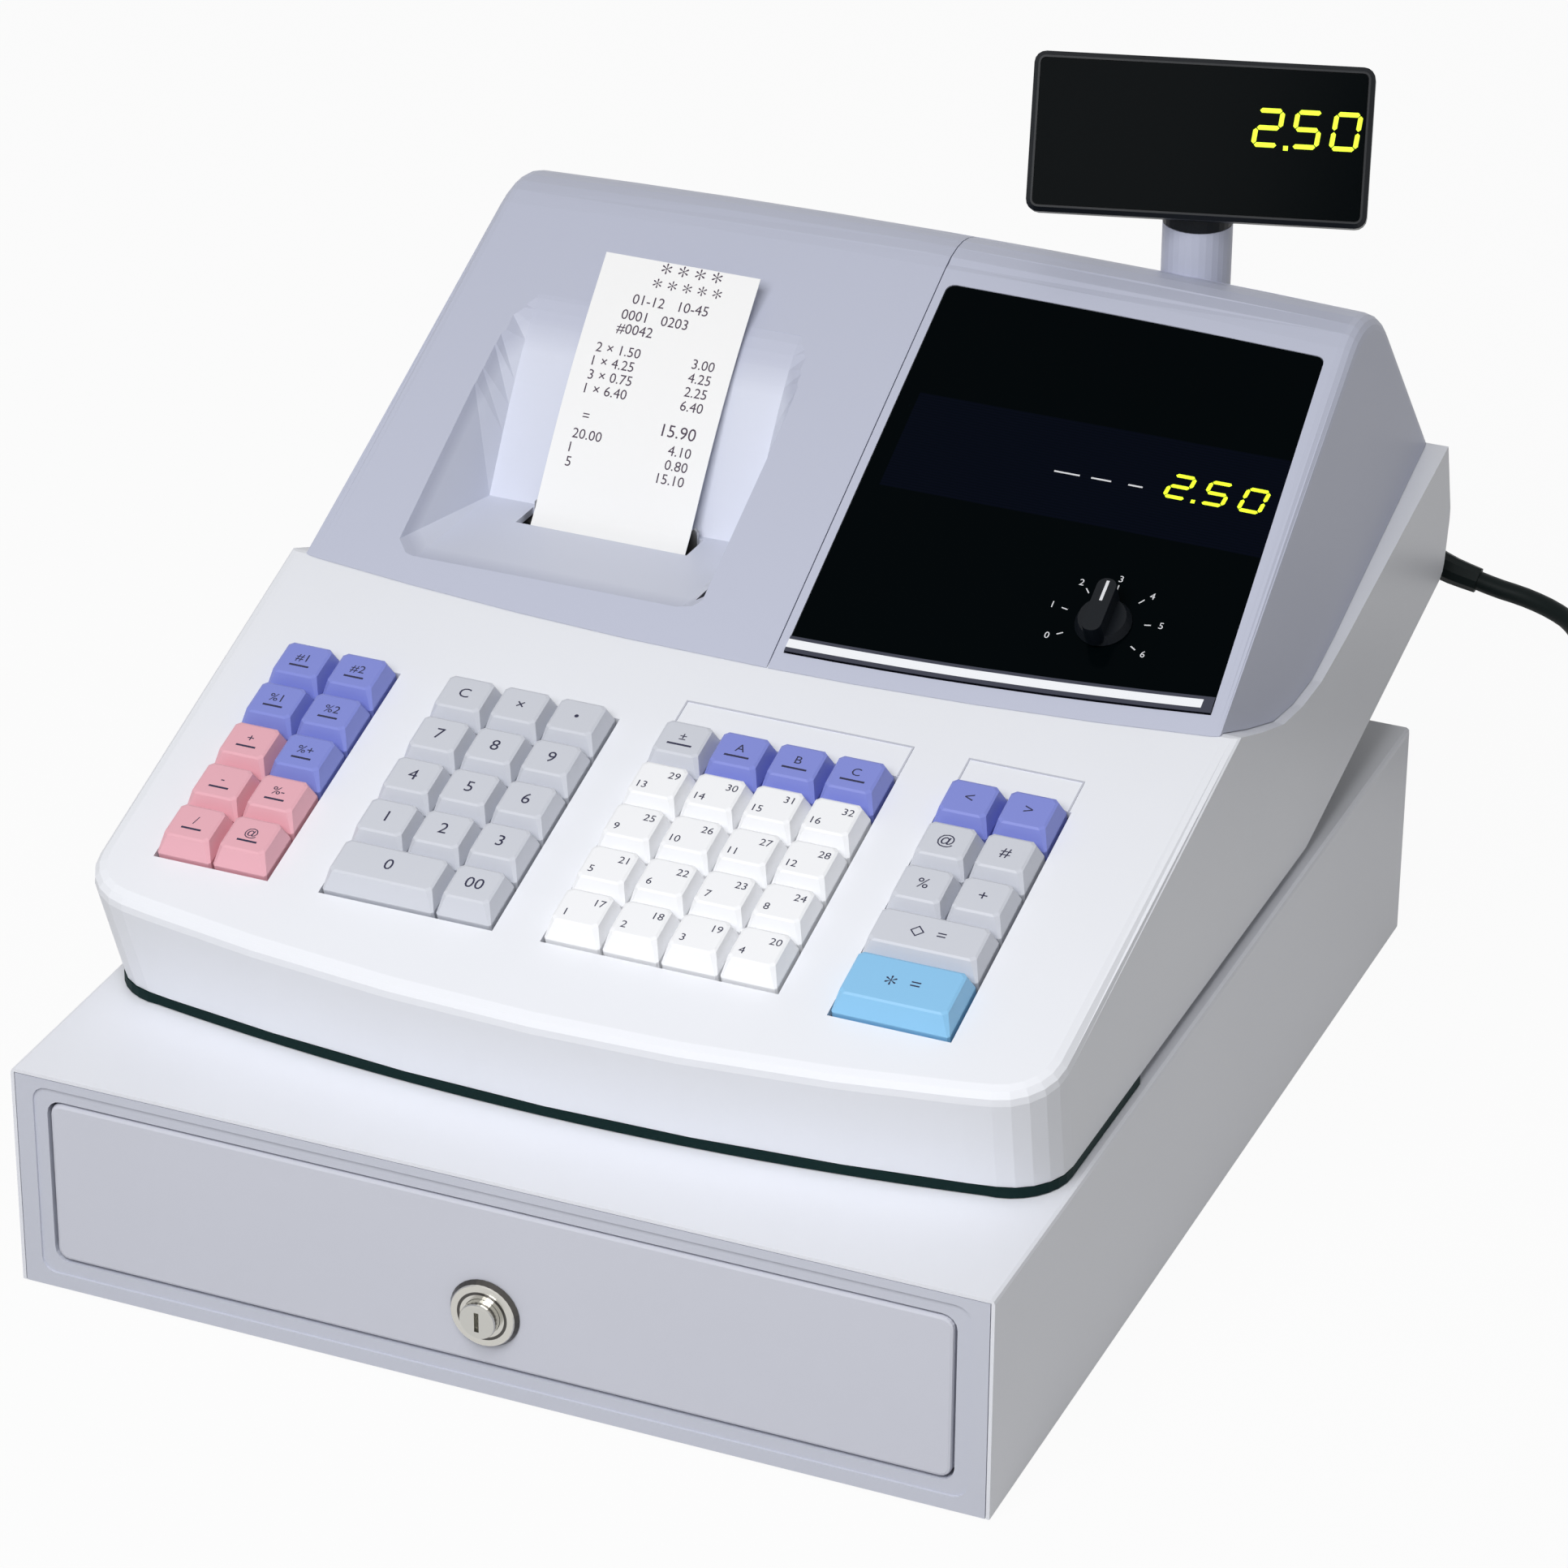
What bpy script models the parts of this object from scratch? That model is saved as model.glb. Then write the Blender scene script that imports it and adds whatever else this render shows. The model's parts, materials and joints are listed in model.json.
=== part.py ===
"""Compact cash register: a keyboard and printer unit on a sheet-steel cash-drawer cabinet."""

from math import cos, pi, radians, sin, tan

import bmesh
import bpy
from mathutils import Matrix, Vector

# Fits shared by all pieces
SEAT_GAP = 0.0003
SLIDE_GAP = 0.0004
RUNNING_GAP = 0.0001
OVERRUN = 0.002
STEEL_SHEET = 0.0012

# What counts as parallel, as one place, or as a middle
PARALLEL_SHARE = 0.999
HALF_SHARE = 0.5

# Cabinet
CABINET_WIDTH = 0.335
CABINET_DEPTH = 0.400
CABINET_HEIGHT = 0.080
CABINET_FLOOR_Z = 0.005
CABINET_EDGE_RADIUS = 0.0015
SKIRT_CLEARANCE = 0.0008
BEZEL_THICKNESS = 0.012
BEZEL_SIDE = 0.0109
BEZEL_TOP = 0.008
BEZEL_BOTTOM = 0.0098
BEZEL_STEP = 0.0046
BEZEL_STEP_DEPTH = 0.0008
OPENING_RADIUS = 0.005
FOOT_RADIUS = 0.011
FOOT_INSET = 0.030
RAIL_WIDTH = 0.018
RAIL_START = 0.040
RAIL_THICKNESS = 0.0015
RAIL_END_INSET = 0.006

# Drawer
FRONT_GAP = 0.0011
FRONT_THICKNESS = 0.004
FRONT_RECESS = 0.0006
CAM_SPACE = 0.0115
DRAWER_END_ROOM = 0.066
DRAWER_LENGTH = CABINET_DEPTH - DRAWER_END_ROOM
DRAWER_SIDE_ROOM = 0.0215
DRAWER_HALF_WIDTH = CABINET_WIDTH / 2 - DRAWER_SIDE_ROOM
DRAWER_BOTTOM_Z = 0.012
FLANGE_Z = 0.054
FLANGE_WIDTH = 0.007
FLANGE_THICKNESS = 0.001
DRAWER_SHEET = 0.001
SPACER_WIDTH = 0.012
SPACER_SPREAD = 0.120
SPACER_HEIGHT = 0.030
ROLLER_RADIUS = 0.006
ROLLER_WIDTH = 0.004
ROLLER_PIN_RADIUS = 0.002
ROLLER_INSET = 0.030
CATCH_WIDTH = 0.016
CATCH_REACH = 0.012
CATCH_Z = 0.0315
CATCH_LIP = 0.006
CATCH_THICKNESS = 0.0015

# Money tray and note clips
TRAY_TOP_Z = 0.053
TRAY_WALL = 0.002
TRAY_FLOOR = 0.003
COIN_CUPS = 5
NOTE_BINS = 4
COIN_DEPTH = 0.082
CUP_SCOOP_SHARES = ((0.0, 1.0), (0.0, 0.40), (0.09, 0.12), (0.27, 0.0), (0.70, 0.0), (0.88, 0.16), (1.0, 0.55), (1.0, 1.0))
CLIP_ROD_RADIUS = 0.002
CLIP_ROD_INSET = 0.0075
CLIP_ROD_Z = 0.0485
CLIP_LENGTH = 0.068
CLIP_WIDTH = 0.022
CLIP_THICKNESS = 0.0015
CLIP_LIE = radians(25)

# Lock
LOCK_X = -0.002
LOCK_Z = 0.031
LOCK_FLANGE_RADIUS = 0.012
LOCK_FLANGE_PROUD = 0.0025
LOCK_BODY_RADIUS = 0.0092
LOCK_BODY_LENGTH = 0.0119
PLUG_RADIUS = 0.0062
PLUG_PROUD = 0.0065
KEYHOLE_LENGTH = 0.007
KEYHOLE_WIDTH = 0.0016
KEYHOLE_DEPTH = 0.005
CAM_LENGTH = 0.023
CAM_WIDTH = 0.007
CAM_THICKNESS = 0.0018

# Drawer latch and its solenoid
LATCH_PIVOT_BACK = 0.016
LATCH_PIVOT_Z = 0.0175
LATCH_PIN_RADIUS = 0.002
LATCH_THICKNESS = 0.004
LATCH_HEIGHT = 0.004
LATCH_DROP = radians(13)
HOOK_LENGTH = 0.003
HOOK_CLEARANCE = 0.0012
HOOK_TOP_Z = 0.0285
SOLENOID_LENGTH = 0.014
SOLENOID_HEIGHT = 0.020
SOLENOID_WIDTH = 0.022
BRACKET_SHEET = 0.0015

# Register body: sloping deck, hood and their side profile
BODY_BOTTOM_Z = 0.084
JUNCTION_Y = 0.0024
JUNCTION_Z = 0.1713
DECK_SLOPE = radians(16.3)
COVER_SLOPE = radians(28.7)
BODY_OVERHANG = 0.0015
BODY_HALF_WIDTH = CABINET_WIDTH / 2 + BODY_OVERHANG
BODY_DRAFT = 0.005
BODY_FRONT_LOW_Y = -0.159
BODY_FRONT_LEAN = 0.012
BODY_FRONT_LEAN_Z = 0.037
BODY_FRONT_BOW = 0.016
BODY_CORNER_RADIUS = 0.021
BODY_REAR_RADIUS = 0.008
BODY_EDGE_RADIUS = 0.005
BODY_LENGTH = 0.236
BODY_WALL = 0.003
BODY_SPAN_SHARES = (-0.84, -0.6, -0.3, 0.0, 0.3, 0.6, 0.84)
UNDERSIDE_SHARES = ((0.397, 0.0), (0.956, 0.470))
BACK_SHARES = ((0.983, 0.538), (0.992, 0.630), (0.952, 0.871), (0.911, 1.123))
RIM_SHARES = ((0.477, 0.813), (0.43, 0.785), (0.375, 0.756), (0.295, 0.756), (0.21, 0.79), (0.104, 0.894), (0.011, 0.997))
RIM_WIDTH = 0.009
RIM_FRONT = 0.012
JUNCTION_BOW = 0.0099
JUNCTION_CREST = -0.0099
HOOD_LEDGE = 0.0033
HOOD_DRAFT = 0.0080
HOOD_RIDGE_REACH = 0.1430
HOOD_RIDGE_BOW = 0.004
HOOD_BACK_SLOPE = radians(55)
HOOD_ROLL_RADIUS = 0.030
HOOD_ROLL_STEPS = 8
HOOD_EDGE_RADIUS = 0.005
HOOD_WALL = 0.003
HOOD_SPAN_SHARE = 0.96
HOOD_SEAM_X = 0.010
HOOD_SEAM_GAP = 0.0004
HOOD_STATION_SHARES = (-1.0, -0.75, -0.5, -0.25, 0.0, 0.25, 0.5, 0.75, 1.0)

# Printer pocket, slot and paper
PAPER_WIDTH = 0.0575
PAPER_X_SHARE = -0.4497
PAPER_X = BODY_HALF_WIDTH * PAPER_X_SHARE
POCKET_LEFT_ROOM = 0.02875
POCKET_RIGHT_ROOM = 0.0265
POCKET_LEFT_X = PAPER_X - PAPER_WIDTH / 2 - POCKET_LEFT_ROOM
POCKET_RIGHT_X = PAPER_X + PAPER_WIDTH / 2 + POCKET_RIGHT_ROOM
POCKET_DRAFT = 0.008
POCKET_FRONT = 0.006
POCKET_DEPTH = 0.0646
POCKET_FLOOR_Z = 0.172
POCKET_REACH = 0.1086
POCKET_FALL = 0.0022
POCKET_RISE = radians(60)
POCKET_STEPS = 10
POCKET_WALL = 0.0025
POCKET_DRAWN_SHARE = 0.1
PAPER_THICKNESS = 0.0003
SLOT_MARGIN = 0.003
SLOT_FRONT_ROOM = 0.0095
SLOT_BACK_ROOM = 0.0045
PAPER_SLOPE = radians(50)
PAPER_EXIT = 0.060
PAPER_EXIT_Z = 0.1745
PAPER_LENGTH = 0.0926
PAPER_CURL = 0.0025
TEAR_BAR_THICKNESS = 0.0015
TEAR_BAR_GAP = 0.0025
TEAR_TEETH = 28
TEAR_TOOTH = 0.0012
TEAR_BAR_FOOT = 0.006
PLATEN_RADIUS = 0.0062
PLATEN_END_RADIUS = 0.003
PLATEN_TOUCH_SHARE = 1.9
ROLL_RADIUS = 0.032
ROLL_CORE_RADIUS = 0.0085
ROLL_Y = 0.125
ROLL_Z = 0.146
SPINDLE_END_RADIUS = 0.004
CHEEK_THICKNESS = 0.0025
CHEEK_GAP = 0.003
CHEEK_TOP_Z = 0.1665
CHEEK_FRONT_Y = 0.030

# Display window, trim, module and mode switch
WINDOW_LEFT_X = 0.0134
WINDOW_INSET = 0.0114
WINDOW_RIGHT_X = BODY_HALF_WIDTH - WINDOW_INSET
WINDOW_RIGHT_DRAFT = 0.0091
WINDOW_TOP = 0.1565
WINDOW_SEAT = 0.002
WINDOW_FLUSH = 0.0002
WINDOW_GAP = 0.0002
WINDOW_LEDGE = 0.002
WINDOW_RADIUS = 0.003
WINDOW_STEPS = 8
TRIM_START = 0.0088
TRIM_WIDTH = 0.0062
TRIM_PROUD = 0.0008
MODULE_THICKNESS = 0.0016
MODULE_MARGIN = 0.004
TUBE_LOW = 0.080
TUBE_HIGH = 0.104
TUBE_LEFT_X = 0.040
SWITCH_INSET = 0.0457
SWITCH_X = WINDOW_RIGHT_X - SWITCH_INSET
SWITCH_S = 0.0332
SWITCH_RADIUS = 0.0095
SWITCH_HEIGHT = 0.003
SWITCH_SHAFT_RADIUS = 0.004
GRIP_LENGTH = 0.021
GRIP_WIDTH = 0.0065
GRIP_HEIGHT = 0.007

# Pole and customer display
POLE_INSET = 0.0706
POLE_X = WINDOW_RIGHT_X - POLE_INSET
POLE_Y = 0.182
POLE_RADIUS = 0.012
POLE_BOTTOM_Z = 0.150
POLE_TOP_Z = 0.266
POLE_GUIDE_WALL = 0.003
POLE_GUIDE_LENGTH = 0.030
SPIGOT_RADIUS = 0.007
SPIGOT_LENGTH = 0.010
NECK_TOP_Z = 0.292
HEAD_WIDTH = 0.1144
HEAD_HEIGHT = 0.0539
HEAD_DEPTH = 0.020
HEAD_FORWARD = 0.009
HEAD_CENTRE_Z = 0.2993
HEAD_RADIUS = 0.004
HEAD_EDGE = 0.0015
HEAD_TAPER = 0.003
HEAD_SQUARE_SHARE = 0.55
HEAD_SWIVEL = radians(15.85)
HEAD_TILT = radians(26.1)
HEAD_FRAME = 0.0022
HEAD_WINDOW_THICKNESS = 0.0016

# Keys: places across the deck and down it from the junction
KEY_PITCH = 0.020
KEY_GAP = 0.0009
KEYPAD_TOP = 0.0463
KEY_RISE = 0.0068
KEY_SKIRT = 0.004
KEY_SIDE_SLOPE = 0.0016
KEY_FRONT_SLOPE = 0.0034
KEY_BACK_SLOPE = 0.0010
KEY_CORNER = 0.0014
KEY_SOFT = 0.0008
KEY_STEM = 0.005
KEY_STEM_LENGTH = 0.0115
TOTAL_EXTRA = 0.004
PAD_COLUMNS = (2, 3, 4, 2)
PAD_SPACE_SHARES = (0.190678, 0.161017, 0.148305, 0.159322)
PAD_ROWS = 5
OPENING_GAP = 0.0005
BOARD_DROP = 0.020
BOARD_THICKNESS = 0.0016
BOARD_MARGIN = 0.006
SWITCH_BODY = 0.013
SWITCH_BODY_HEIGHT = 0.008
STEM_GAP = 0.0004
POST_RADIUS = 0.003
POST_SHARES = (0.15, 0.85)

# Base pan, boards and transformer
PAN_THICKNESS = 0.0025
PAD_RADIUS = 0.010
PAD_INSET_X = 0.040
PAD_FRONT_Y = -0.110
PAD_REAR_Y = 0.080
MAIN_BOARD_Z = 0.096
MAIN_BOARD_INSET = 0.029
MAIN_BOARD_WIDTH = 0.210
MAIN_BOARD_LEFT_X = MAIN_BOARD_INSET - BODY_HALF_WIDTH
MAIN_BOARD_RIGHT_X = MAIN_BOARD_LEFT_X + MAIN_BOARD_WIDTH
MAIN_BOARD_FRONT_Y = -0.090
MAIN_BOARD_BACK_Y = 0.010
STANDOFF_RADIUS = 0.003
CHIP_SIZE = 0.018
CHIP_HEIGHT = 0.0025
TRANSFORMER_INSET = 0.054
TRANSFORMER_X = BODY_HALF_WIDTH - TRANSFORMER_INSET
TRANSFORMER_Y = 0.045
TRANSFORMER_CORE = 0.045
TRANSFORMER_WIDTH = 0.056
TRANSFORMER_COIL = 0.060

# Mains lead: boot, route, coil and plug
CORD_RADIUS = 0.0035
BOOT_RADIUS = 0.0065
BOOT_FLANGE_RADIUS = 0.009
BOOT_FLANGE = 0.003
BOOT_END_RADIUS = 0.0046
BOOT_INSET = 0.039
BOOT_X = BODY_HALF_WIDTH - BOOT_INSET
BOOT_Z = 0.1345
BOOT_ROUTE = (
    (0.0065, 0.0095, 0.1325),
    (0.0160, 0.0130, 0.1275),
    (0.0260, 0.0140, 0.1215),
    (0.0340, 0.0143, 0.1183),
    (0.0440, 0.0145, 0.1160),
)
LEAD_ROUTE = (
    (0.0440, 0.0145, 0.1160),
    (0.0515, 0.0147, 0.1143),
    (0.0615, 0.0157, 0.1122),
    (0.0710, 0.0185, 0.1078),
    (0.0770, 0.0235, 0.1010),
    (0.0805, 0.0315, 0.0880),
    (0.0830, 0.0415, 0.0660),
    (0.0840, 0.0515, 0.0400),
    (0.0840, 0.0615, 0.0180),
    (0.0840, 0.0725, 0.0062),
    (0.0840, 0.0835, 0.0037),
    (0.0840, 0.0935, 0.0036),
)
LEAD_POINTS = 40
BOOT_POINTS = 12
COIL_RADIUS = 0.048
COIL_TURNS = 6.5
COIL_GAP = 0.0015
COIL_POINTS = 24
CROSSING_SHARE = 0.5
COIL_ACROSS = 0.1320
COIL_BEHIND = 0.1015
FLOOR_GAP = 0.0001
PLUG_TAIL = 0.042
PLUG_LENGTH = 0.040
PLUG_WIDTH = 0.027
PLUG_HEIGHT = 0.024
PLUG_NOSE = 0.010
PLUG_NECK_RADIUS = 0.005
BLADE_LENGTH = 0.017
BLADE_WIDTH = 0.0063
BLADE_THICKNESS = 0.0015
BLADE_SPREAD = 0.0127

# Frames: the deck plane, the cover plane, and the customer display's face
DECK = Matrix.Translation((0, JUNCTION_Y, JUNCTION_Z)) @ Matrix.Rotation(DECK_SLOPE, 4, "X")
COVER = Matrix.Translation((0, JUNCTION_Y, JUNCTION_Z)) @ Matrix.Rotation(COVER_SLOPE, 4, "X")
SWIVEL = Matrix.Translation((POLE_X, POLE_Y, 0)) @ Matrix.Rotation(HEAD_SWIVEL, 4, "Z")
FACE = SWIVEL @ Matrix.Translation((0, -HEAD_FORWARD, HEAD_CENTRE_Z)) @ Matrix.Rotation(-HEAD_TILT, 4, "X")

# Places worked out from the sizes
FRONT_Y = -CABINET_DEPTH / 2
SHELL_INSIDE_X = CABINET_WIDTH / 2 - STEEL_SHEET
SHELL_INSIDE_BACK = CABINET_DEPTH / 2 - STEEL_SHEET
SHELL_FLOOR_TOP = CABINET_FLOOR_Z + STEEL_SHEET
OPENING_X = CABINET_WIDTH / 2 - STEEL_SHEET - BEZEL_SIDE
OPENING_LOW = SKIRT_CLEARANCE + BEZEL_BOTTOM
OPENING_HIGH = CABINET_HEIGHT - STEEL_SHEET - BEZEL_TOP
FRONT_FACE_Y = FRONT_Y + FRONT_RECESS
FRONT_BACK_Y = FRONT_FACE_Y + FRONT_THICKNESS
DRAWER_FRONT_Y = FRONT_BACK_Y + CAM_SPACE
DRAWER_BACK_Y = DRAWER_FRONT_Y + DRAWER_LENGTH
TRAY_HALF_WIDTH = DRAWER_HALF_WIDTH - DRAWER_SHEET - SLIDE_GAP
TRAY_FRONT_Y = DRAWER_FRONT_Y + DRAWER_SHEET + SLIDE_GAP
TRAY_BACK_Y = DRAWER_BACK_Y - DRAWER_SHEET - SLIDE_GAP
TRAY_BOTTOM_Z = DRAWER_BOTTOM_Z + DRAWER_SHEET + SEAT_GAP
CLIP_ROD_Y = TRAY_BACK_Y - CLIP_ROD_INSET
RIDGE_Y = JUNCTION_Y + HOOD_RIDGE_REACH
RIDGE_Z = JUNCTION_Z + HOOD_RIDGE_REACH * tan(COVER_SLOPE)
BACK_Y = JUNCTION_Y + BODY_LENGTH * max(share[0] for share in BACK_SHARES)
ROOT_SHIFT = -(BACK_Y + FRONT_FACE_Y - PLUG_PROUD) / 2

MATERIALS = {
    "cabinet_paint": ((0.79, 0.81, 0.87), 0.45, 0.0),
    "bezel_plastic": ((0.60, 0.61, 0.67), 0.5, 0.0),
    "case_white": ((0.84, 0.86, 0.90), 0.42, 0.0),
    "hood_grey": ((0.57, 0.60, 0.71), 0.42, 0.0),
    "window_black": ((0.006, 0.007, 0.014), 0.12, 0.0),
    "black_plastic": ((0.012, 0.013, 0.018), 0.35, 0.0),
    "chrome": ((0.75, 0.75, 0.77), 0.12, 1.0),
    "zinc": ((0.55, 0.56, 0.57), 0.35, 1.0),
    "rubber": ((0.02, 0.02, 0.02), 0.8, 0.0),
    "tray_grey": ((0.16, 0.17, 0.18), 0.55, 0.0),
    "board_green": ((0.03, 0.16, 0.07), 0.5, 0.0),
    "copper": ((0.55, 0.25, 0.10), 0.35, 1.0),
    "paper": ((0.88, 0.87, 0.84), 0.85, 0.0),
    "key_blue": ((0.19, 0.23, 0.58), 0.4, 0.0),
    "key_pink": ((0.72, 0.38, 0.44), 0.4, 0.0),
    "key_grey": ((0.61, 0.63, 0.68), 0.4, 0.0),
    "key_white": ((0.86, 0.87, 0.90), 0.4, 0.0),
    "key_total": ((0.20, 0.43, 0.75), 0.4, 0.0),
    "cord_black": ((0.008, 0.014, 0.012), 0.5, 0.0),
}


def clear_scene():
    for obj in list(bpy.data.objects):
        bpy.data.objects.remove(obj, do_unlink=True)


def collection(name):
    made = bpy.data.collections.new(name)
    bpy.context.scene.collection.children.link(made)
    return made


def paint(name):
    colour, roughness, metallic = MATERIALS[name]
    material = bpy.data.materials.get(name) or bpy.data.materials.new(name)
    material.use_nodes = True
    shader = material.node_tree.nodes["Principled BSDF"]
    shader.inputs["Base Color"].default_value = (*colour, 1.0)
    shader.inputs["Roughness"].default_value = roughness
    shader.inputs["Metallic"].default_value = metallic
    return material


# Modelling helpers


def add(name, mesh):
    obj = bpy.data.objects.new(name, mesh)
    obj.display_type = "WIRE"
    obj.hide_render = True
    CUTTERS.objects.link(obj)
    return obj


def from_bmesh(name, bm):
    mesh = bpy.data.meshes.new(name)
    bm.to_mesh(mesh)
    bm.free()
    return add(name, mesh)


def boxes(name, corners):
    """One mesh of boxes, each from its low corner to its high corner."""
    bm = bmesh.new()
    for low, high in corners:
        low, high = Vector(low), Vector(high)
        size = high - low
        place = Matrix.Translation((low + high) / 2) @ Matrix.Diagonal((*size, 1))
        bmesh.ops.create_cube(bm, size=1, matrix=place)
    return from_bmesh(name, bm)


def box(name, low, high):
    return boxes(name, [(low, high)])


def drum(name, start, end, radius, end_radius=None, segments=32):
    """A cylinder or cone between two points."""
    start, end = Vector(start), Vector(end)
    axis = end - start
    turn = axis.to_track_quat("Z", "Y").to_matrix().to_4x4()
    bm = bmesh.new()
    bmesh.ops.create_cone(
        bm,
        cap_ends=True,
        segments=segments,
        radius1=radius,
        radius2=radius if end_radius is None else end_radius,
        depth=axis.length,
        matrix=Matrix.Translation((start + end) / 2) @ turn,
    )
    return from_bmesh(name, bm)


def meshed(curve_object, name):
    """The curve's surface as a closed mesh; the curve itself goes."""
    graph = bpy.context.evaluated_depsgraph_get()
    mesh = bpy.data.meshes.new_from_object(curve_object.evaluated_get(graph))
    bm = bmesh.new()
    bm.from_mesh(mesh)
    bmesh.ops.remove_doubles(bm, verts=bm.verts, dist=WELD)
    bmesh.ops.dissolve_limit(bm, angle_limit=FLAT_ANGLE, verts=bm.verts, edges=bm.edges)
    bmesh.ops.recalc_face_normals(bm, faces=bm.faces)
    bm.to_mesh(mesh)
    bm.free()
    mesh.transform(curve_object.matrix_world)
    bpy.data.objects.remove(curve_object, do_unlink=True)
    return add(name, mesh)


AXES = {
    "X": Matrix(((0, 0, 1), (1, 0, 0), (0, 1, 0))),
    "Y": Matrix(((0, 1, 0), (0, 0, 1), (1, 0, 0))),
    "Z": Matrix(((1, 0, 0), (0, 1, 0), (0, 0, 1))),
}


def plate(name, outline, low, high, axis="Z"):
    """A flat outline with thickness: (y, z) points for X, (z, x) points for Y and (x, y) points for Z."""
    curve = bpy.data.curves.new(name, "CURVE")
    curve.dimensions = "2D"
    curve.fill_mode = "BOTH"
    curve.extrude = (high - low) / 2
    spline = curve.splines.new("POLY")
    spline.points.add(len(outline) - 1)
    for point, (across, up) in zip(spline.points, outline):
        point.co = (across, up, 0, 1)
    spline.use_cyclic_u = True
    holder = bpy.data.objects.new(name, curve)
    CUTTERS.objects.link(holder)
    turned = AXES[axis]
    holder.matrix_world = Matrix.Translation(turned @ Vector((0, 0, (low + high) / 2))) @ turned.to_4x4()
    bpy.context.view_layer.update()
    return meshed(holder, name)


def tube(name, points, radii, resolution, smooth=False):
    """A round tube through the points, with one radius for all or one for each."""
    curve = bpy.data.curves.new(name, "CURVE")
    curve.dimensions = "3D"
    curve.bevel_depth = 1
    curve.bevel_resolution = resolution
    curve.use_fill_caps = True
    spline = curve.splines.new("POLY")
    spline.points.add(len(points) - 1)
    for index, point in enumerate(points):
        spline.points[index].co = (*point, 1)
        spline.points[index].radius = radii[index] if isinstance(radii, (list, tuple)) else radii
    holder = bpy.data.objects.new(name, curve)
    CUTTERS.objects.link(holder)
    bpy.context.view_layer.update()
    return meshed(holder, name)


def loft(name, rings):
    """A closed skin through rings of points, with flat ends."""
    bm = bmesh.new()
    rows = [[bm.verts.new(point) for point in ring] for ring in rings]
    count = len(rings[0])
    sides = []
    for lower, upper in zip(rows, rows[1:]):
        for i in range(count):
            j = (i + 1) % count
            sides.append(bm.faces.new((lower[i], lower[j], upper[j], upper[i])))
    bm.faces.new(rows[0][::-1])
    bm.faces.new(rows[-1])
    bmesh.ops.recalc_face_normals(bm, faces=bm.faces)
    bmesh.ops.connect_verts_nonplanar(bm, angle_limit=FLAT_ANGLE, faces=sides)
    return from_bmesh(name, bm)


def combine(target, tool, operation):
    modifier = target.modifiers.new(operation, "BOOLEAN")
    modifier.operation = operation
    modifier.solver = "EXACT"
    modifier.object = tool
    bpy.context.view_layer.update()
    graph = bpy.context.evaluated_depsgraph_get()
    mesh = bpy.data.meshes.new_from_object(target.evaluated_get(graph))
    target.modifiers.clear()
    target.data = mesh
    bpy.data.objects.remove(tool, do_unlink=True)
    return target


def cut(target, *tools):
    for tool in tools:
        combine(target, tool, "DIFFERENCE")
    return target


def join(target, *tools):
    for tool in tools:
        combine(target, tool, "UNION")
    return target


def meet(target, *tools):
    for tool in tools:
        combine(target, tool, "INTERSECT")
    return target


def soften(obj, width, segments, chosen):
    """Round the chosen edges; chosen is asked about each edge's middle, direction and sharpness."""
    bm = bmesh.new()
    bm.from_mesh(obj.data)
    bmesh.ops.dissolve_limit(bm, angle_limit=FLAT_ANGLE, verts=bm.verts, edges=bm.edges)
    edges = []
    for edge in bm.edges:
        if len(edge.link_faces) != 2:
            continue
        middle = (edge.verts[0].co + edge.verts[1].co) / 2
        along = (edge.verts[1].co - edge.verts[0].co).normalized()
        if edge.calc_face_angle(0) > SHARP_ANGLE and chosen(middle, along, edge):
            edges.append(edge)
    bmesh.ops.bevel(bm, geom=edges, offset=width, segments=segments, profile=0.5, affect="EDGES")
    bm.to_mesh(obj.data)
    bm.free()
    return obj


def finish(obj, name, material, frame=None):
    """Make the working solid a named part, with its origin and axes on the given frame."""
    frame = frame or Matrix.Identity(4)
    obj.data.transform(frame.inverted())
    CUTTERS.objects.unlink(obj)
    PARTS.objects.link(obj)
    obj.name = name
    obj.data.name = name
    obj.hide_render = False
    obj.display_type = "TEXTURED"
    obj.data.materials.clear()
    obj.data.materials.append(paint(material))
    obj.data.shade_smooth()
    obj.data.set_sharp_from_angle(angle=radians(32))
    obj.parent = ROOT
    obj.matrix_local = frame
    return obj


def rounded(points, radii, steps=4):
    """The outline with its corners rounded; radii holds one radius for each point, and zero keeps a corner."""
    made = []
    count = len(points)
    for index, point in enumerate(points):
        radius = radii[index]
        corner = Vector(point)
        if radius <= 0:
            made.append(corner)
            continue
        back = (Vector(points[index - 1]) - corner).normalized()
        on = (Vector(points[(index + 1) % count]) - corner).normalized()
        half = back.angle(on) / 2
        centre = corner + (back + on).normalized() * radius / sin(half)
        first = corner + back * radius / tan(half) - centre
        last = corner + on * radius / tan(half) - centre
        sweep = first.angle_signed(last)
        for step in range(steps + 1):
            made.append(centre + Matrix.Rotation(-sweep * step / steps, 2) @ first)
    return made


def inset(points, gaps):
    """The outline, anticlockwise, with each edge moved inwards by its gap."""
    count = len(points)
    made = []
    for index in range(count):
        before, here, after = (Vector(points[(index + k) % count]) for k in (-1, 0, 1))
        first, second = (here - before).normalized(), (after - here).normalized()
        a = Vector((-first.y, first.x))
        b = Vector((-second.y, second.x))
        gap_a, gap_b = gaps[index - 1], gaps[index]
        cross = a.x * b.y - a.y * b.x
        if abs(cross) < PARALLEL:
            made.append(here + a * gap_a)
            continue
        reach_a, reach_b = here.dot(a) + gap_a, here.dot(b) + gap_b
        made.append(Vector(((reach_a * b.y - reach_b * a.y) / cross, (a.x * reach_b - b.x * reach_a) / cross)))
    return made


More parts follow.
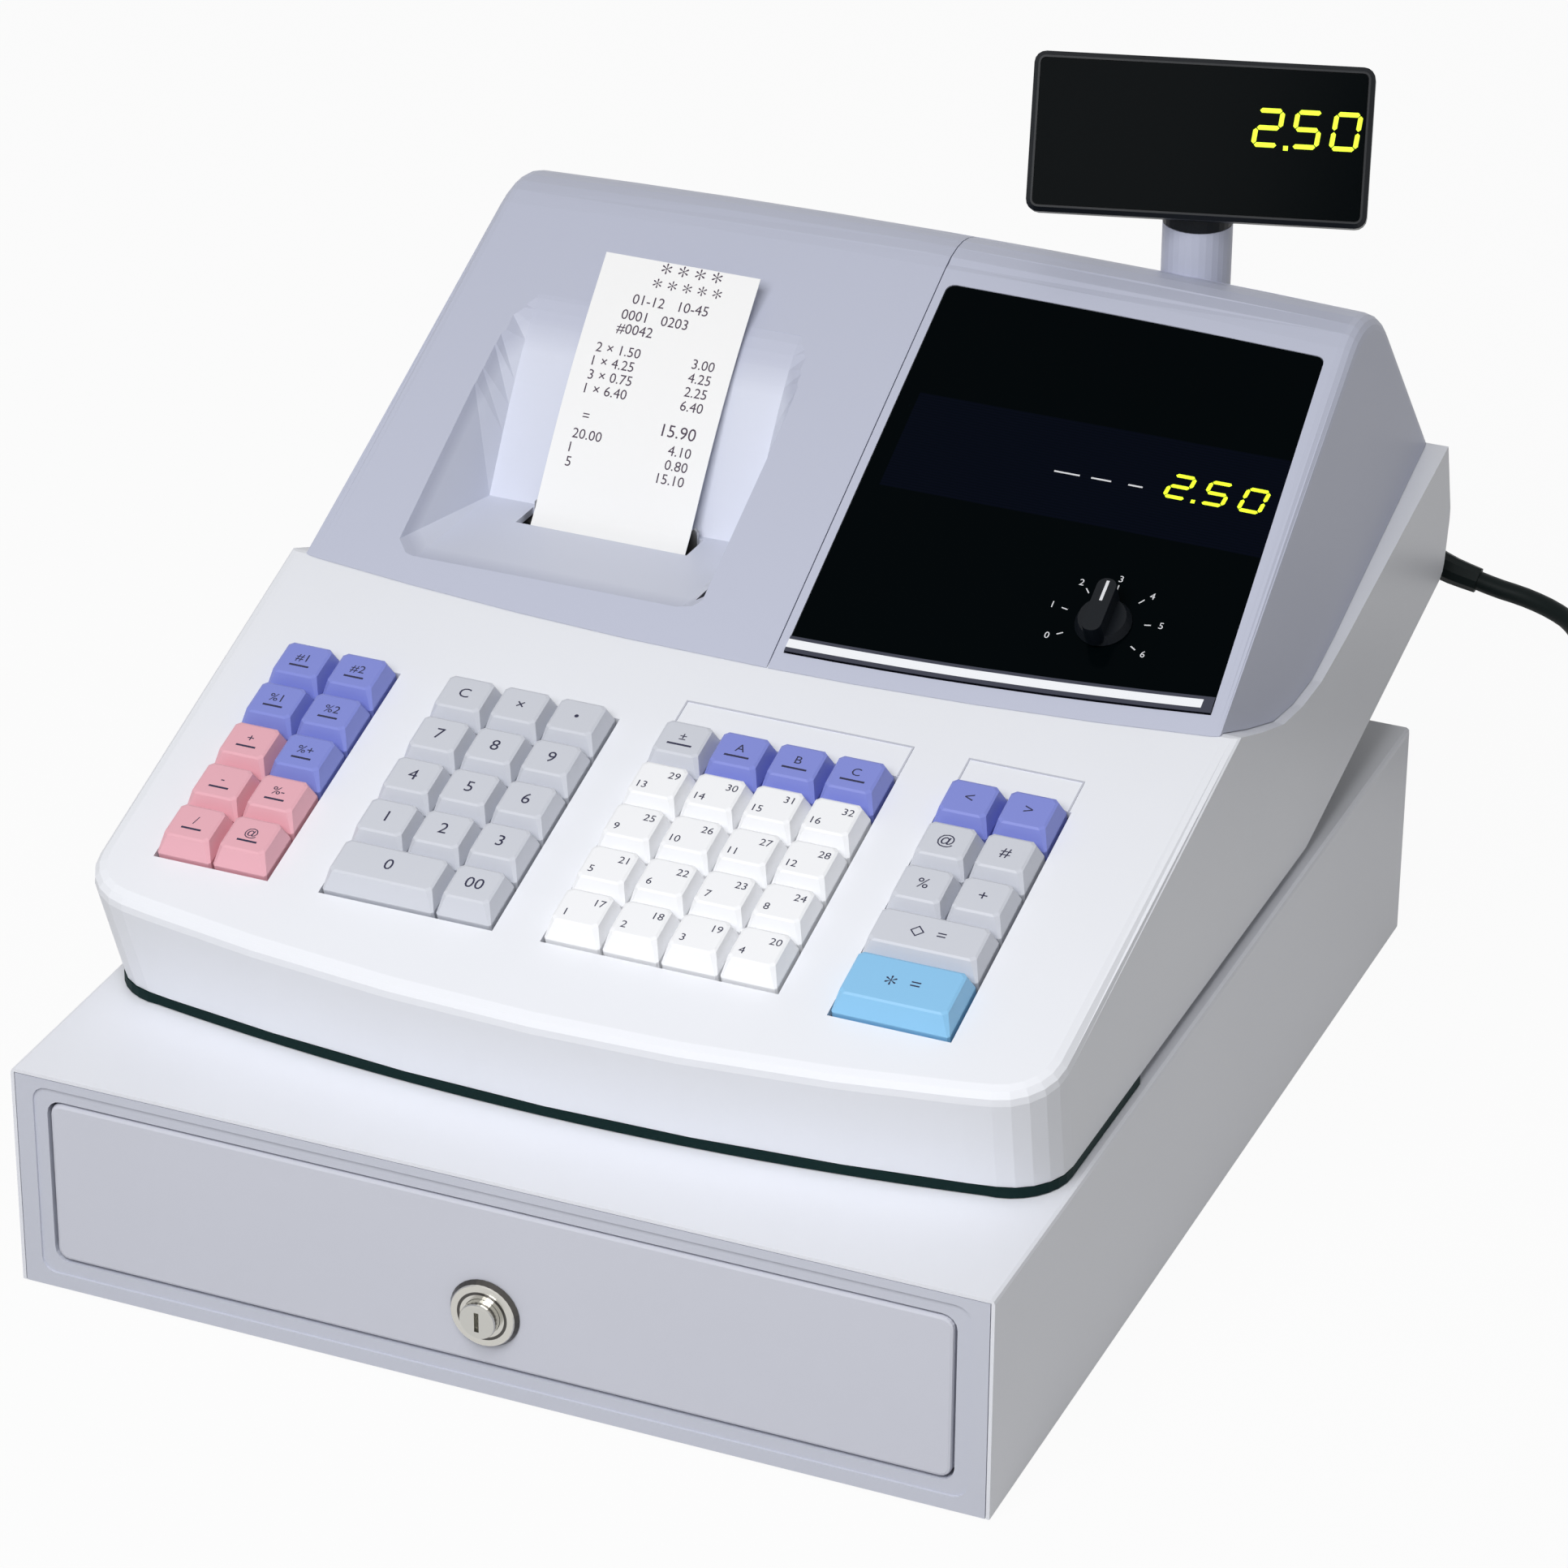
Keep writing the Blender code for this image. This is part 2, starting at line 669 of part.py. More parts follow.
def rectangle(half_x, low, high, radius=0.0, centre=0.0):
    """(z, x) points of a rounded rectangle that faces along Y."""
    corners = [
        (low, centre - half_x),
        (high, centre - half_x),
        (high, centre + half_x),
        (low, centre + half_x),
    ]
    return rounded(corners, [radius] * 4, 4)


WELD = 0.00001
FLAT_ANGLE = radians(0.5)
SHARP_ANGLE = radians(30)
PARALLEL = 0.001


# Cabinet


def cabinet_shell():
    half = CABINET_WIDTH / 2
    back = CABINET_DEPTH / 2
    shell = box("shell", (-half, FRONT_Y, SKIRT_CLEARANCE), (half, back, CABINET_HEIGHT))
    soften(shell, CABINET_EDGE_RADIUS, 2, lambda mid, along, edge: abs(along.x) < 0.5 and mid.z > CABINET_FLOOR_Z and mid.y > FRONT_Y + OVERRUN)
    room = box("room", (-SHELL_INSIDE_X, FRONT_Y - OVERRUN, SHELL_FLOOR_TOP), (SHELL_INSIDE_X, SHELL_INSIDE_BACK, CABINET_HEIGHT - STEEL_SHEET))
    under = box("under", (-SHELL_INSIDE_X, FRONT_Y - OVERRUN, -OVERRUN), (SHELL_INSIDE_X, SHELL_INSIDE_BACK, CABINET_FLOOR_Z))
    mouth_back = FRONT_Y + BEZEL_THICKNESS + SEAT_GAP
    mouth = box("mouth", (-SHELL_INSIDE_X, FRONT_Y - OVERRUN, -OVERRUN), (SHELL_INSIDE_X, mouth_back, SHELL_FLOOR_TOP + OVERRUN))
    cut(shell, room, under, mouth)
    rail_inner = SHELL_INSIDE_X - RAIL_WIDTH
    rail_top = FLANGE_Z - SEAT_GAP
    rail_end = SHELL_INSIDE_BACK - RAIL_END_INSET
    roller_y = FRONT_Y + ROLLER_INSET
    roller_z = FLANGE_Z - SEAT_GAP - ROLLER_RADIUS
    for side in (-1, 1):
        wall_x = side * (SHELL_INSIDE_X + STEEL_SHEET / 2)
        inner_x = side * rail_inner
        low_x, high_x = min(wall_x, inner_x), max(wall_x, inner_x)
        ledge = box("ledge", (low_x, FRONT_Y + RAIL_START, rail_top - RAIL_THICKNESS), (high_x, rail_end, rail_top))
        pin_tip = side * (DRAWER_HALF_WIDTH + FLANGE_WIDTH - ROLLER_WIDTH - SEAT_GAP * 2)
        pin = drum("pin", (wall_x, roller_y, roller_z), (pin_tip, roller_y, roller_z), ROLLER_PIN_RADIUS, segments=16)
        join(shell, ledge, pin)
    foot_x = half - FOOT_INSET
    foot_y = back - FOOT_INSET
    for across in (-foot_x, foot_x):
        for along in (-foot_y, foot_y):
            foot = drum("foot", (across, along, 0), (across, along, CABINET_FLOOR_Z + STEEL_SHEET / 2), FOOT_RADIUS, segments=24)
            join(shell, foot)
    return finish(shell, "cabinet_shell", "cabinet_paint")


def cabinet_bezel():
    half = SHELL_INSIDE_X - SEAT_GAP
    high = CABINET_HEIGHT - STEEL_SHEET - SEAT_GAP
    back = FRONT_Y + BEZEL_THICKNESS
    bezel = plate("bezel", rectangle(half, SKIRT_CLEARANCE, high), FRONT_Y, back, "Y")
    hole = plate("hole", rectangle(OPENING_X, OPENING_LOW, OPENING_HIGH, OPENING_RADIUS), FRONT_Y - OVERRUN, back + OVERRUN, "Y")
    step_outline = rectangle(OPENING_X + BEZEL_STEP, OPENING_LOW - BEZEL_STEP, OPENING_HIGH + BEZEL_STEP, OPENING_RADIUS)
    step = plate("step", step_outline, FRONT_Y - OVERRUN, FRONT_Y + BEZEL_STEP_DEPTH, "Y")
    cut(bezel, hole, step)
    return finish(bezel, "cabinet_bezel", "bezel_plastic")


# Drawer


def drawer_box():
    half = DRAWER_HALF_WIDTH
    tray = box("drawer", (-half, DRAWER_FRONT_Y, DRAWER_BOTTOM_Z), (half, DRAWER_BACK_Y, FLANGE_Z + FLANGE_THICKNESS))
    flange = box("flange", (-half - FLANGE_WIDTH, DRAWER_FRONT_Y, FLANGE_Z), (half + FLANGE_WIDTH, DRAWER_BACK_Y, FLANGE_Z + FLANGE_THICKNESS))
    join(tray, flange)
    inside_low = (-half + DRAWER_SHEET, DRAWER_FRONT_Y + DRAWER_SHEET, DRAWER_BOTTOM_Z + DRAWER_SHEET)
    inside_high = (half - DRAWER_SHEET, DRAWER_BACK_Y - DRAWER_SHEET, FLANGE_Z + OVERRUN)
    cut(tray, box("inside", inside_low, inside_high))
    tongue_end = DRAWER_BACK_Y + CATCH_REACH
    tongue = box(
        "tongue",
        (-CATCH_WIDTH / 2, DRAWER_BACK_Y - DRAWER_SHEET / 2, CATCH_Z - CATCH_THICKNESS),
        (CATCH_WIDTH / 2, tongue_end, CATCH_Z),
    )
    lip = box(
        "lip",
        (-CATCH_WIDTH / 2, tongue_end - CATCH_THICKNESS, CATCH_Z - CATCH_THICKNESS - CATCH_LIP),
        (CATCH_WIDTH / 2, tongue_end, CATCH_Z),
    )
    join(tray, join(tongue, lip))
    return finish(tray, "drawer_box", "zinc")


def drawer_front():
    half = OPENING_X - FRONT_GAP
    low = OPENING_LOW + FRONT_GAP
    high = OPENING_HIGH - FRONT_GAP
    face = plate("face", rectangle(half, low, high, OPENING_RADIUS - FRONT_GAP), FRONT_FACE_Y, FRONT_BACK_Y, "Y")
    soften(face, FRONT_GAP, 2, lambda mid, along, edge: mid.y < FRONT_FACE_Y + WELD)
    spacer_low = DRAWER_BOTTOM_Z + SPACER_WIDTH / 2
    for side in (-1, 1):
        centre = side * SPACER_SPREAD
        spacer = box(
            "spacer",
            (centre - SPACER_WIDTH / 2, FRONT_BACK_Y - FRONT_THICKNESS / 2, spacer_low),
            (centre + SPACER_WIDTH / 2, DRAWER_FRONT_Y - SEAT_GAP, spacer_low + SPACER_HEIGHT),
        )
        join(face, spacer)
    bore = drum("bore", (LOCK_X, FRONT_Y - OVERRUN, LOCK_Z), (LOCK_X, FRONT_BACK_Y + OVERRUN, LOCK_Z), LOCK_BODY_RADIUS + SEAT_GAP)
    cut(face, bore)
    return finish(face, "drawer_front", "cabinet_paint")


def lock():
    flange_front = FRONT_FACE_Y - LOCK_FLANGE_PROUD
    body_back = FRONT_FACE_Y + LOCK_BODY_LENGTH
    barrel = drum("barrel", (LOCK_X, FRONT_FACE_Y - SEAT_GAP, LOCK_Z), (LOCK_X, body_back, LOCK_Z), LOCK_BODY_RADIUS)
    bevelled = drum(
        "flange",
        (LOCK_X, FRONT_FACE_Y - SEAT_GAP, LOCK_Z),
        (LOCK_X, flange_front, LOCK_Z),
        LOCK_FLANGE_RADIUS,
        LOCK_FLANGE_RADIUS - LOCK_FLANGE_PROUD / 2,
    )
    join(barrel, bevelled)
    bore = drum("bore", (LOCK_X, flange_front - OVERRUN, LOCK_Z), (LOCK_X, body_back + OVERRUN, LOCK_Z), PLUG_RADIUS + RUNNING_GAP)
    cut(barrel, bore)
    finish(barrel, "lock_barrel", "chrome")

    plug_front = FRONT_FACE_Y - PLUG_PROUD
    plug_back = body_back + SEAT_GAP
    plug = drum("plug", (LOCK_X, plug_front, LOCK_Z), (LOCK_X, plug_back, LOCK_Z), PLUG_RADIUS)
    soften(plug, KEYHOLE_WIDTH / 2, 2, lambda mid, along, edge: mid.y < plug_front + WELD)
    cam_low = plug_back
    cam_high = cam_low + CAM_THICKNESS
    nose = CAM_WIDTH / 2
    outline = [
        (LOCK_Z - nose, LOCK_X - nose),
        (LOCK_Z + nose, LOCK_X - nose),
        (LOCK_Z + nose, LOCK_X + CAM_LENGTH),
        (LOCK_Z - nose, LOCK_X + CAM_LENGTH),
    ]
    cam = plate("cam", rounded(outline, [nose / 2] * 4, 3), cam_low - SEAT_GAP, cam_high, "Y")
    join(plug, cam)
    slot = box(
        "slot",
        (LOCK_X - KEYHOLE_WIDTH / 2, plug_front - OVERRUN, LOCK_Z - KEYHOLE_LENGTH / 2),
        (LOCK_X + KEYHOLE_WIDTH / 2, plug_front + KEYHOLE_DEPTH, LOCK_Z + KEYHOLE_LENGTH / 2),
    )
    cut(plug, slot)
    finish(plug, "lock_plug", "chrome", Matrix.Translation((LOCK_X, FRONT_FACE_Y, LOCK_Z)))


def coin_tray():
    half = TRAY_HALF_WIDTH
    tray = box("tray", (-half, TRAY_FRONT_Y, TRAY_BOTTOM_Z), (half, TRAY_BACK_Y, TRAY_TOP_Z))
    floor_z = TRAY_BOTTOM_Z + TRAY_FLOOR
    height = TRAY_TOP_Z - floor_z
    cup_y = TRAY_FRONT_Y + TRAY_WALL
    cup_width = (2 * half - TRAY_WALL * (COIN_CUPS + 1)) / COIN_CUPS
    outline = [(cup_y + COIN_DEPTH * across, floor_z + height * up) for across, up in CUP_SCOOP_SHARES]
    first, last = outline[0], outline[-1]
    outline[0] = (first[0], first[1] + OVERRUN)
    outline[-1] = (last[0], last[1] + OVERRUN)
    for index in range(COIN_CUPS):
        left = -half + TRAY_WALL + index * (cup_width + TRAY_WALL)
        cut(tray, plate("cup", outline, left, left + cup_width, "X"))
    bin_y = cup_y + COIN_DEPTH + TRAY_WALL
    bin_width = (2 * half - TRAY_WALL * (NOTE_BINS + 1)) / NOTE_BINS
    for index in range(NOTE_BINS):
        left = -half + TRAY_WALL + index * (bin_width + TRAY_WALL)
        room = box("bin", (left, bin_y, floor_z), (left + bin_width, TRAY_BACK_Y - TRAY_WALL, TRAY_TOP_Z + OVERRUN))
        cut(tray, room)
    notch_half = CLIP_ROD_RADIUS + RUNNING_GAP
    notch = box(
        "notch",
        (-half + TRAY_WALL, CLIP_ROD_Y - notch_half, CLIP_ROD_Z - notch_half),
        (half - TRAY_WALL, CLIP_ROD_Y + notch_half, TRAY_TOP_Z + OVERRUN),
    )
    cut(tray, notch)
    return finish(tray, "coin_tray", "tray_grey")


def note_clips():
    half = TRAY_HALF_WIDTH - TRAY_WALL - SEAT_GAP
    rod = drum("rod", (-half, CLIP_ROD_Y, CLIP_ROD_Z), (half, CLIP_ROD_Y, CLIP_ROD_Z), CLIP_ROD_RADIUS, segments=16)
    bin_width = (2 * TRAY_HALF_WIDTH - TRAY_WALL * (NOTE_BINS + 1)) / NOTE_BINS
    turn = Matrix.Translation((0, CLIP_ROD_Y, CLIP_ROD_Z)) @ Matrix.Rotation(CLIP_LIE, 4, "X")
    sheet = CLIP_THICKNESS / 2
    for index in range(NOTE_BINS):
        centre = -TRAY_HALF_WIDTH + TRAY_WALL + bin_width / 2 + index * (bin_width + TRAY_WALL)
        arm = box("arm", (centre - CLIP_WIDTH / 2, -CLIP_LENGTH, -sheet), (centre + CLIP_WIDTH / 2, 0, sheet))
        pad = drum(
            "pad",
            (centre - CLIP_WIDTH / 2, -CLIP_LENGTH, 0),
            (centre + CLIP_WIDTH / 2, -CLIP_LENGTH, 0),
            CLIP_THICKNESS,
            segments=12,
        )
        join(arm, pad)
        arm.data.transform(turn)
        join(rod, arm)
    return finish(rod, "note_clips", "zinc", Matrix.Translation((0, CLIP_ROD_Y, CLIP_ROD_Z)))


def drawer_rollers():
    y = FRONT_Y + ROLLER_INSET
    z = FLANGE_Z - SEAT_GAP - ROLLER_RADIUS
    outer = DRAWER_HALF_WIDTH + FLANGE_WIDTH
    for side, name in ((-1, "drawer_roller_left"), (1, "drawer_roller_right")):
        inner_x, outer_x = side * (outer - ROLLER_WIDTH), side * outer
        roller = drum("roller", (inner_x, y, z), (outer_x, y, z), ROLLER_RADIUS, segments=24)
        soften(roller, KEY_SOFT, 1, lambda mid, along, edge: abs(along.x) < 0.5)
        bore = drum(
            "bore",
            (inner_x - side * OVERRUN, y, z),
            (outer_x + side * OVERRUN, y, z),
            ROLLER_PIN_RADIUS + RUNNING_GAP,
            segments=16,
        )
        cut(roller, bore)
        finish(roller, name, "tray_grey", Matrix.Translation(((inner_x + outer_x) / 2, y, z)))


def latch_and_solenoid():
    pivot_y = DRAWER_BACK_Y + CATCH_REACH + LATCH_PIVOT_BACK
    lip_front = DRAWER_BACK_Y + CATCH_REACH - CATCH_THICKNESS
    hook_back = lip_front - HOOK_CLEARANCE
    low = LATCH_PIVOT_Z - LATCH_HEIGHT / 2
    high = LATCH_PIVOT_Z + LATCH_HEIGHT / 2
    outline = [
        (hook_back - HOOK_LENGTH, low),
        (pivot_y + LATCH_HEIGHT, low),
        (pivot_y + LATCH_HEIGHT, high),
        (hook_back, high),
        (hook_back, HOOK_TOP_Z - HOOK_LENGTH / 3),
        (hook_back - HOOK_LENGTH / 2, HOOK_TOP_Z),
        (hook_back - HOOK_LENGTH, HOOK_TOP_Z - HOOK_LENGTH / 2),
    ]
    half = LATCH_THICKNESS / 2
    latch = plate("latch", outline, -half, half, "X")
    boss = drum("boss", (-half, pivot_y, LATCH_PIVOT_Z), (half, pivot_y, LATCH_PIVOT_Z), LATCH_HEIGHT, segments=24)
    join(latch, boss)
    bore = drum(
        "bore",
        (-half - OVERRUN, pivot_y, LATCH_PIVOT_Z),
        (half + OVERRUN, pivot_y, LATCH_PIVOT_Z),
        LATCH_PIN_RADIUS + RUNNING_GAP,
        segments=16,
    )
    cut(latch, bore)
    pivot = Matrix.Translation((0, pivot_y, LATCH_PIVOT_Z))
    latch.data.transform(pivot @ Matrix.Rotation(LATCH_DROP, 4, "X") @ pivot.inverted())
    finish(latch, "drawer_latch", "zinc", pivot)

    ear = half + SEAT_GAP
    wide = SOLENOID_WIDTH / 2
    base_z = SHELL_FLOOR_TOP + SEAT_GAP
    front = pivot_y - LATCH_HEIGHT
    back = SHELL_INSIDE_BACK - SEAT_GAP
    bracket = box("bracket", (-wide, front, base_z), (wide, back, base_z + BRACKET_SHEET))
    ear_top = LATCH_PIVOT_Z + LATCH_HEIGHT
    for side in (-1, 1):
        inner, outer = side * ear, side * (ear + BRACKET_SHEET)
        ears = box("ear", (min(inner, outer), front, base_z), (max(inner, outer), pivot_y + LATCH_HEIGHT, ear_top))
        join(bracket, ears)
    pin = drum(
        "pin",
        (-ear - BRACKET_SHEET, pivot_y, LATCH_PIVOT_Z),
        (ear + BRACKET_SHEET, pivot_y, LATCH_PIVOT_Z),
        LATCH_PIN_RADIUS,
        segments=16,
    )
    coil_front = back - SOLENOID_LENGTH
    coil = box("coil", (-wide, coil_front, base_z), (wide, back, base_z + SOLENOID_HEIGHT))
    plunger = drum("plunger", (0, coil_front + OVERRUN, ear_top + LATCH_HEIGHT), (0, pivot_y, ear_top + LATCH_HEIGHT), LATCH_PIN_RADIUS, segments=16)
    join(bracket, pin, coil, plunger)
    finish(bracket, "drawer_solenoid", "zinc")


# Register body


def body_side():
    """(y, z) outline of the lower case, anticlockwise, and the number of points before its rim."""
    height = JUNCTION_Z - BODY_BOTTOM_Z

    def place(shares):
        return [(JUNCTION_Y + BODY_LENGTH * across, BODY_BOTTOM_Z + height * up) for across, up in shares]

    front = BODY_FRONT_LOW_Y - BODY_CORNER_RADIUS * 2
    deck_front = (front, JUNCTION_Z + (front - JUNCTION_Y) * tan(DECK_SLOPE))
    outline = [(front, BODY_BOTTOM_Z), *place(UNDERSIDE_SHARES), *place(BACK_SHARES), *place(RIM_SHARES)]
    return [*outline, (JUNCTION_Y, JUNCTION_Z), deck_front]


def body_ring(z, gap):
    """Plan of the lower case at one height, moved in by the gap."""
    rise = z - BODY_BOTTOM_Z
    half = BODY_HALF_WIDTH - BODY_DRAFT * (1 - rise / (JUNCTION_Z - BODY_BOTTOM_Z)) - gap
    front = BODY_FRONT_LOW_Y - BODY_FRONT_LEAN * rise / BODY_FRONT_LEAN_Z + gap
    back = BACK_Y + OVERRUN - gap
    points = [(half, back), (-half, back), (-half, front + BODY_FRONT_BOW)]
    points += [(half * share, front + BODY_FRONT_BOW * share**2) for share in BODY_SPAN_SHARES]
    points.append((half, front + BODY_FRONT_BOW))
    corner = BODY_CORNER_RADIUS - gap
    rear = BODY_REAR_RADIUS - gap
    radii = [rear, rear, corner] + [0] * len(BODY_SPAN_SHARES) + [corner]
    return [(point.x, point.y, z) for point in rounded(points, radii, 5)]


def body_block(name, gap, low, high):
    return loft(name, [body_ring(low, gap), body_ring(high, gap)])


def body_solid(gap=0.0):
    """The lower case filled in; a gap moves its top, back and plan inwards and opens it below."""
    side = body_side()
    below = len(UNDERSIDE_SHARES) + 1
    gaps = [gap] * len(side)
    top = JUNCTION_Z + CABINET_HEIGHT / 2
    low = BODY_BOTTOM_Z
    if gap:
        gaps[:below] = [-OVERRUN] * below
        low = BODY_BOTTOM_Z - OVERRUN * 2
    outline = inset(side, gaps) if gap else side
    solid = body_block("body", gap, low, top)
    reach = BODY_HALF_WIDTH + OVERRUN * 4
    return meet(solid, plate("side", outline, -reach, reach, "X"))


def deck_box(name, low, high):
    made = box(name, low, high)
    made.data.transform(DECK)
    return made


def pad_lefts():
    """Left edge of each key block: the blocks share out the room that their caps leave across the deck."""
    room = 2 * BODY_HALF_WIDTH - sum(PAD_COLUMNS) * KEY_PITCH
    made = []
    left = -BODY_HALF_WIDTH
    for columns, share in zip(PAD_COLUMNS, PAD_SPACE_SHARES):
        left += room * share
        made.append(left)
        left += columns * KEY_PITCH
    return made


def key_blocks():
    """Each key block's opening across and down the deck."""
    low = -KEYPAD_TOP - PAD_ROWS * KEY_PITCH
    lefts = pad_lefts()
    made = [(left, left + columns * KEY_PITCH, low, -KEYPAD_TOP) for left, columns in zip(lefts, PAD_COLUMNS)]
    left, right, low, high = made[-1]
    made[-1] = (left, right, low - TOTAL_EXTRA, high)
    return made


def base_housing():
    case = body_solid()
    deck_normal = DECK.to_3x3() @ Vector((0, 0, 1))

    def on_deck(mid, along, edge):
        tops = [face for face in edge.link_faces if face.normal.dot(deck_normal) > PARALLEL_SHARE]
        return len(tops) == 1 and mid.y < JUNCTION_Y - OVERRUN

    soften(case, BODY_EDGE_RADIUS, 3, on_deck)
    cut(case, body_solid(BODY_WALL))
    rim_x = BODY_HALF_WIDTH - RIM_WIDTH
    hatch = box(
        "hatch",
        (-rim_x, JUNCTION_Y + RIM_FRONT, BODY_BOTTOM_Z + PAN_THICKNESS),
        (rim_x, JUNCTION_Y + BODY_LENGTH * BACK_SHARES[-1][0] - RIM_WIDTH, JUNCTION_Z + CABINET_HEIGHT),
    )
    cut(case, hatch)
    blocks = key_blocks()
    holes = [
        ((left - OPENING_GAP, low - OPENING_GAP, -BODY_WALL * 3), (right + OPENING_GAP, high + OPENING_GAP, BODY_WALL * 2))
        for left, right, low, high in blocks
    ]
    openings = boxes("openings", holes)
    openings.data.transform(DECK)
    cut(case, openings)
    for left, right in zip(blocks, blocks[1:]):
        x = (left[1] + right[0]) / 2
        for share in POST_SHARES:
            s = -KEYPAD_TOP - PAD_ROWS * KEY_PITCH * share
            post = drum("post", (x, s, -BODY_WALL / 2), (x, s, -BOARD_DROP + SEAT_GAP), POST_RADIUS, segments=12)
            post.data.transform(DECK)
            join(case, post)
    boot = drum(
        "boot_hole",
        (BOOT_X, BACK_Y - BODY_WALL * 6, BOOT_Z),
        (BOOT_X, BACK_Y + OVERRUN, BOOT_Z),
        CORD_RADIUS + SEAT_GAP,
        segments=16,
    )
    cut(case, boot)
    return finish(case, "base_housing", "case_white")



def base_pan():
    """The bottom cover inside the case walls, on four pads."""
    gap = BODY_WALL + SEAT_GAP
    pan = body_block("pan", gap, BODY_BOTTOM_Z - OVERRUN, JUNCTION_Z + OVERRUN)
    side = body_side()
    under = [Vector(point) for point in side[: len(UNDERSIDE_SHARES) + 1]]
    end = under[-1] - (under[-1] - under[-2]).normalized() * gap * 2
    low = [under[0], under[1], end]
    slope = (under[2] - under[1]).normalized()
    lift = Vector((-slope.y, slope.x)) * PAN_THICKNESS
    knee = under[1] + Vector((-PAN_THICKNESS * tan(slope.angle(Vector((1, 0))) / 2), PAN_THICKNESS))
    band = plate("band", [*low, end + lift, knee, under[0] + Vector((0, PAN_THICKNESS))], -BODY_HALF_WIDTH, BODY_HALF_WIDTH, "X")
    meet(pan, band)
    x = BODY_HALF_WIDTH - PAD_INSET_X
    for across in (-x, x):
        for along in (PAD_FRONT_Y, PAD_REAR_Y):
            pad = drum("pad", (across, along, CABINET_HEIGHT + SEAT_GAP), (across, along, BODY_BOTTOM_Z + PAN_THICKNESS / 2), PAD_RADIUS, segments=24)
            join(pan, pad)
    for across in (MAIN_BOARD_LEFT_X, MAIN_BOARD_RIGHT_X):
        for along in (MAIN_BOARD_FRONT_Y, MAIN_BOARD_BACK_Y):
            x_in = across + (STANDOFF_RADIUS * 2 if across < 0 else -STANDOFF_RADIUS * 2)
            y_in = along + (STANDOFF_RADIUS * 2 if along < 0 else -STANDOFF_RADIUS * 2)
            standoff = drum("standoff", (x_in, y_in, BODY_BOTTOM_Z + PAN_THICKNESS / 2), (x_in, y_in, MAIN_BOARD_Z - SEAT_GAP), STANDOFF_RADIUS, segments=12)
            join(pan, standoff)
    return finish(pan, "base_pan", "zinc")


def main_board():
    board = box(
        "board",
        (MAIN_BOARD_LEFT_X, MAIN_BOARD_FRONT_Y, MAIN_BOARD_Z),
        (MAIN_BOARD_RIGHT_X, MAIN_BOARD_BACK_Y, MAIN_BOARD_Z + BOARD_THICKNESS),
    )
    top = MAIN_BOARD_Z + BOARD_THICKNESS
    middle_y = (MAIN_BOARD_FRONT_Y + MAIN_BOARD_BACK_Y) / 2
    for step in (-2, 0, 2):
        x = (MAIN_BOARD_LEFT_X + MAIN_BOARD_RIGHT_X) / 2 + step * CHIP_SIZE
        chip = box(
            "chip",
            (x - CHIP_SIZE / 2, middle_y - CHIP_SIZE / 2, top - BOARD_THICKNESS / 2),
            (x + CHIP_SIZE / 2, middle_y + CHIP_SIZE / 2, top + CHIP_HEIGHT),
        )
        join(board, chip)
    return finish(board, "main_board", "board_green")


def transformer():
    base = BODY_BOTTOM_Z + PAN_THICKNESS + SEAT_GAP
    half = TRANSFORMER_WIDTH / 2
    core = box(
        "core",
        (TRANSFORMER_X - half, TRANSFORMER_Y - TRANSFORMER_CORE / 4, base),
        (TRANSFORMER_X + half, TRANSFORMER_Y + TRANSFORMER_CORE / 4, base + TRANSFORMER_CORE),
    )
    low = base + TRANSFORMER_CORE / 5
    winding = box(
        "winding",
        (TRANSFORMER_X - half / 2, TRANSFORMER_Y - TRANSFORMER_COIL / 3, low),
        (TRANSFORMER_X + half / 2, TRANSFORMER_Y + TRANSFORMER_COIL / 3, base + TRANSFORMER_CORE * 4 / 5),
    )
    soften(winding, TRANSFORMER_CORE / 8, 3, lambda mid, along, edge: abs(along.z) > 0.5)
    join(core, winding)
    return finish(core, "transformer", "copper")


# Hood: printer cover and display housing


def junction_y(x):
    """The forward-bowed line where the hood meets the deck."""
    return JUNCTION_Y + JUNCTION_CREST + JUNCTION_BOW * (x / BODY_HALF_WIDTH) ** 2


def rim_points():
    side = body_side()
    start = len(UNDERSIDE_SHARES) + len(BACK_SHARES)
    return side[start : start + len(RIM_SHARES) + 2]


def hood_half(z):
    low = BODY_BOTTOM_Z + (JUNCTION_Z - BODY_BOTTOM_Z) * RIM_SHARES[2][1]
    base_half = BODY_HALF_WIDTH - BODY_DRAFT * (1 - RIM_SHARES[2][1])
    return base_half - HOOD_LEDGE - HOOD_DRAFT * (z - low) / (RIDGE_Z - low)


def ridge_bow(x):
    """How far down the slope the ridge runs, more towards the sides."""
    return HOOD_RIDGE_BOW * (x / BODY_HALF_WIDTH) ** 2


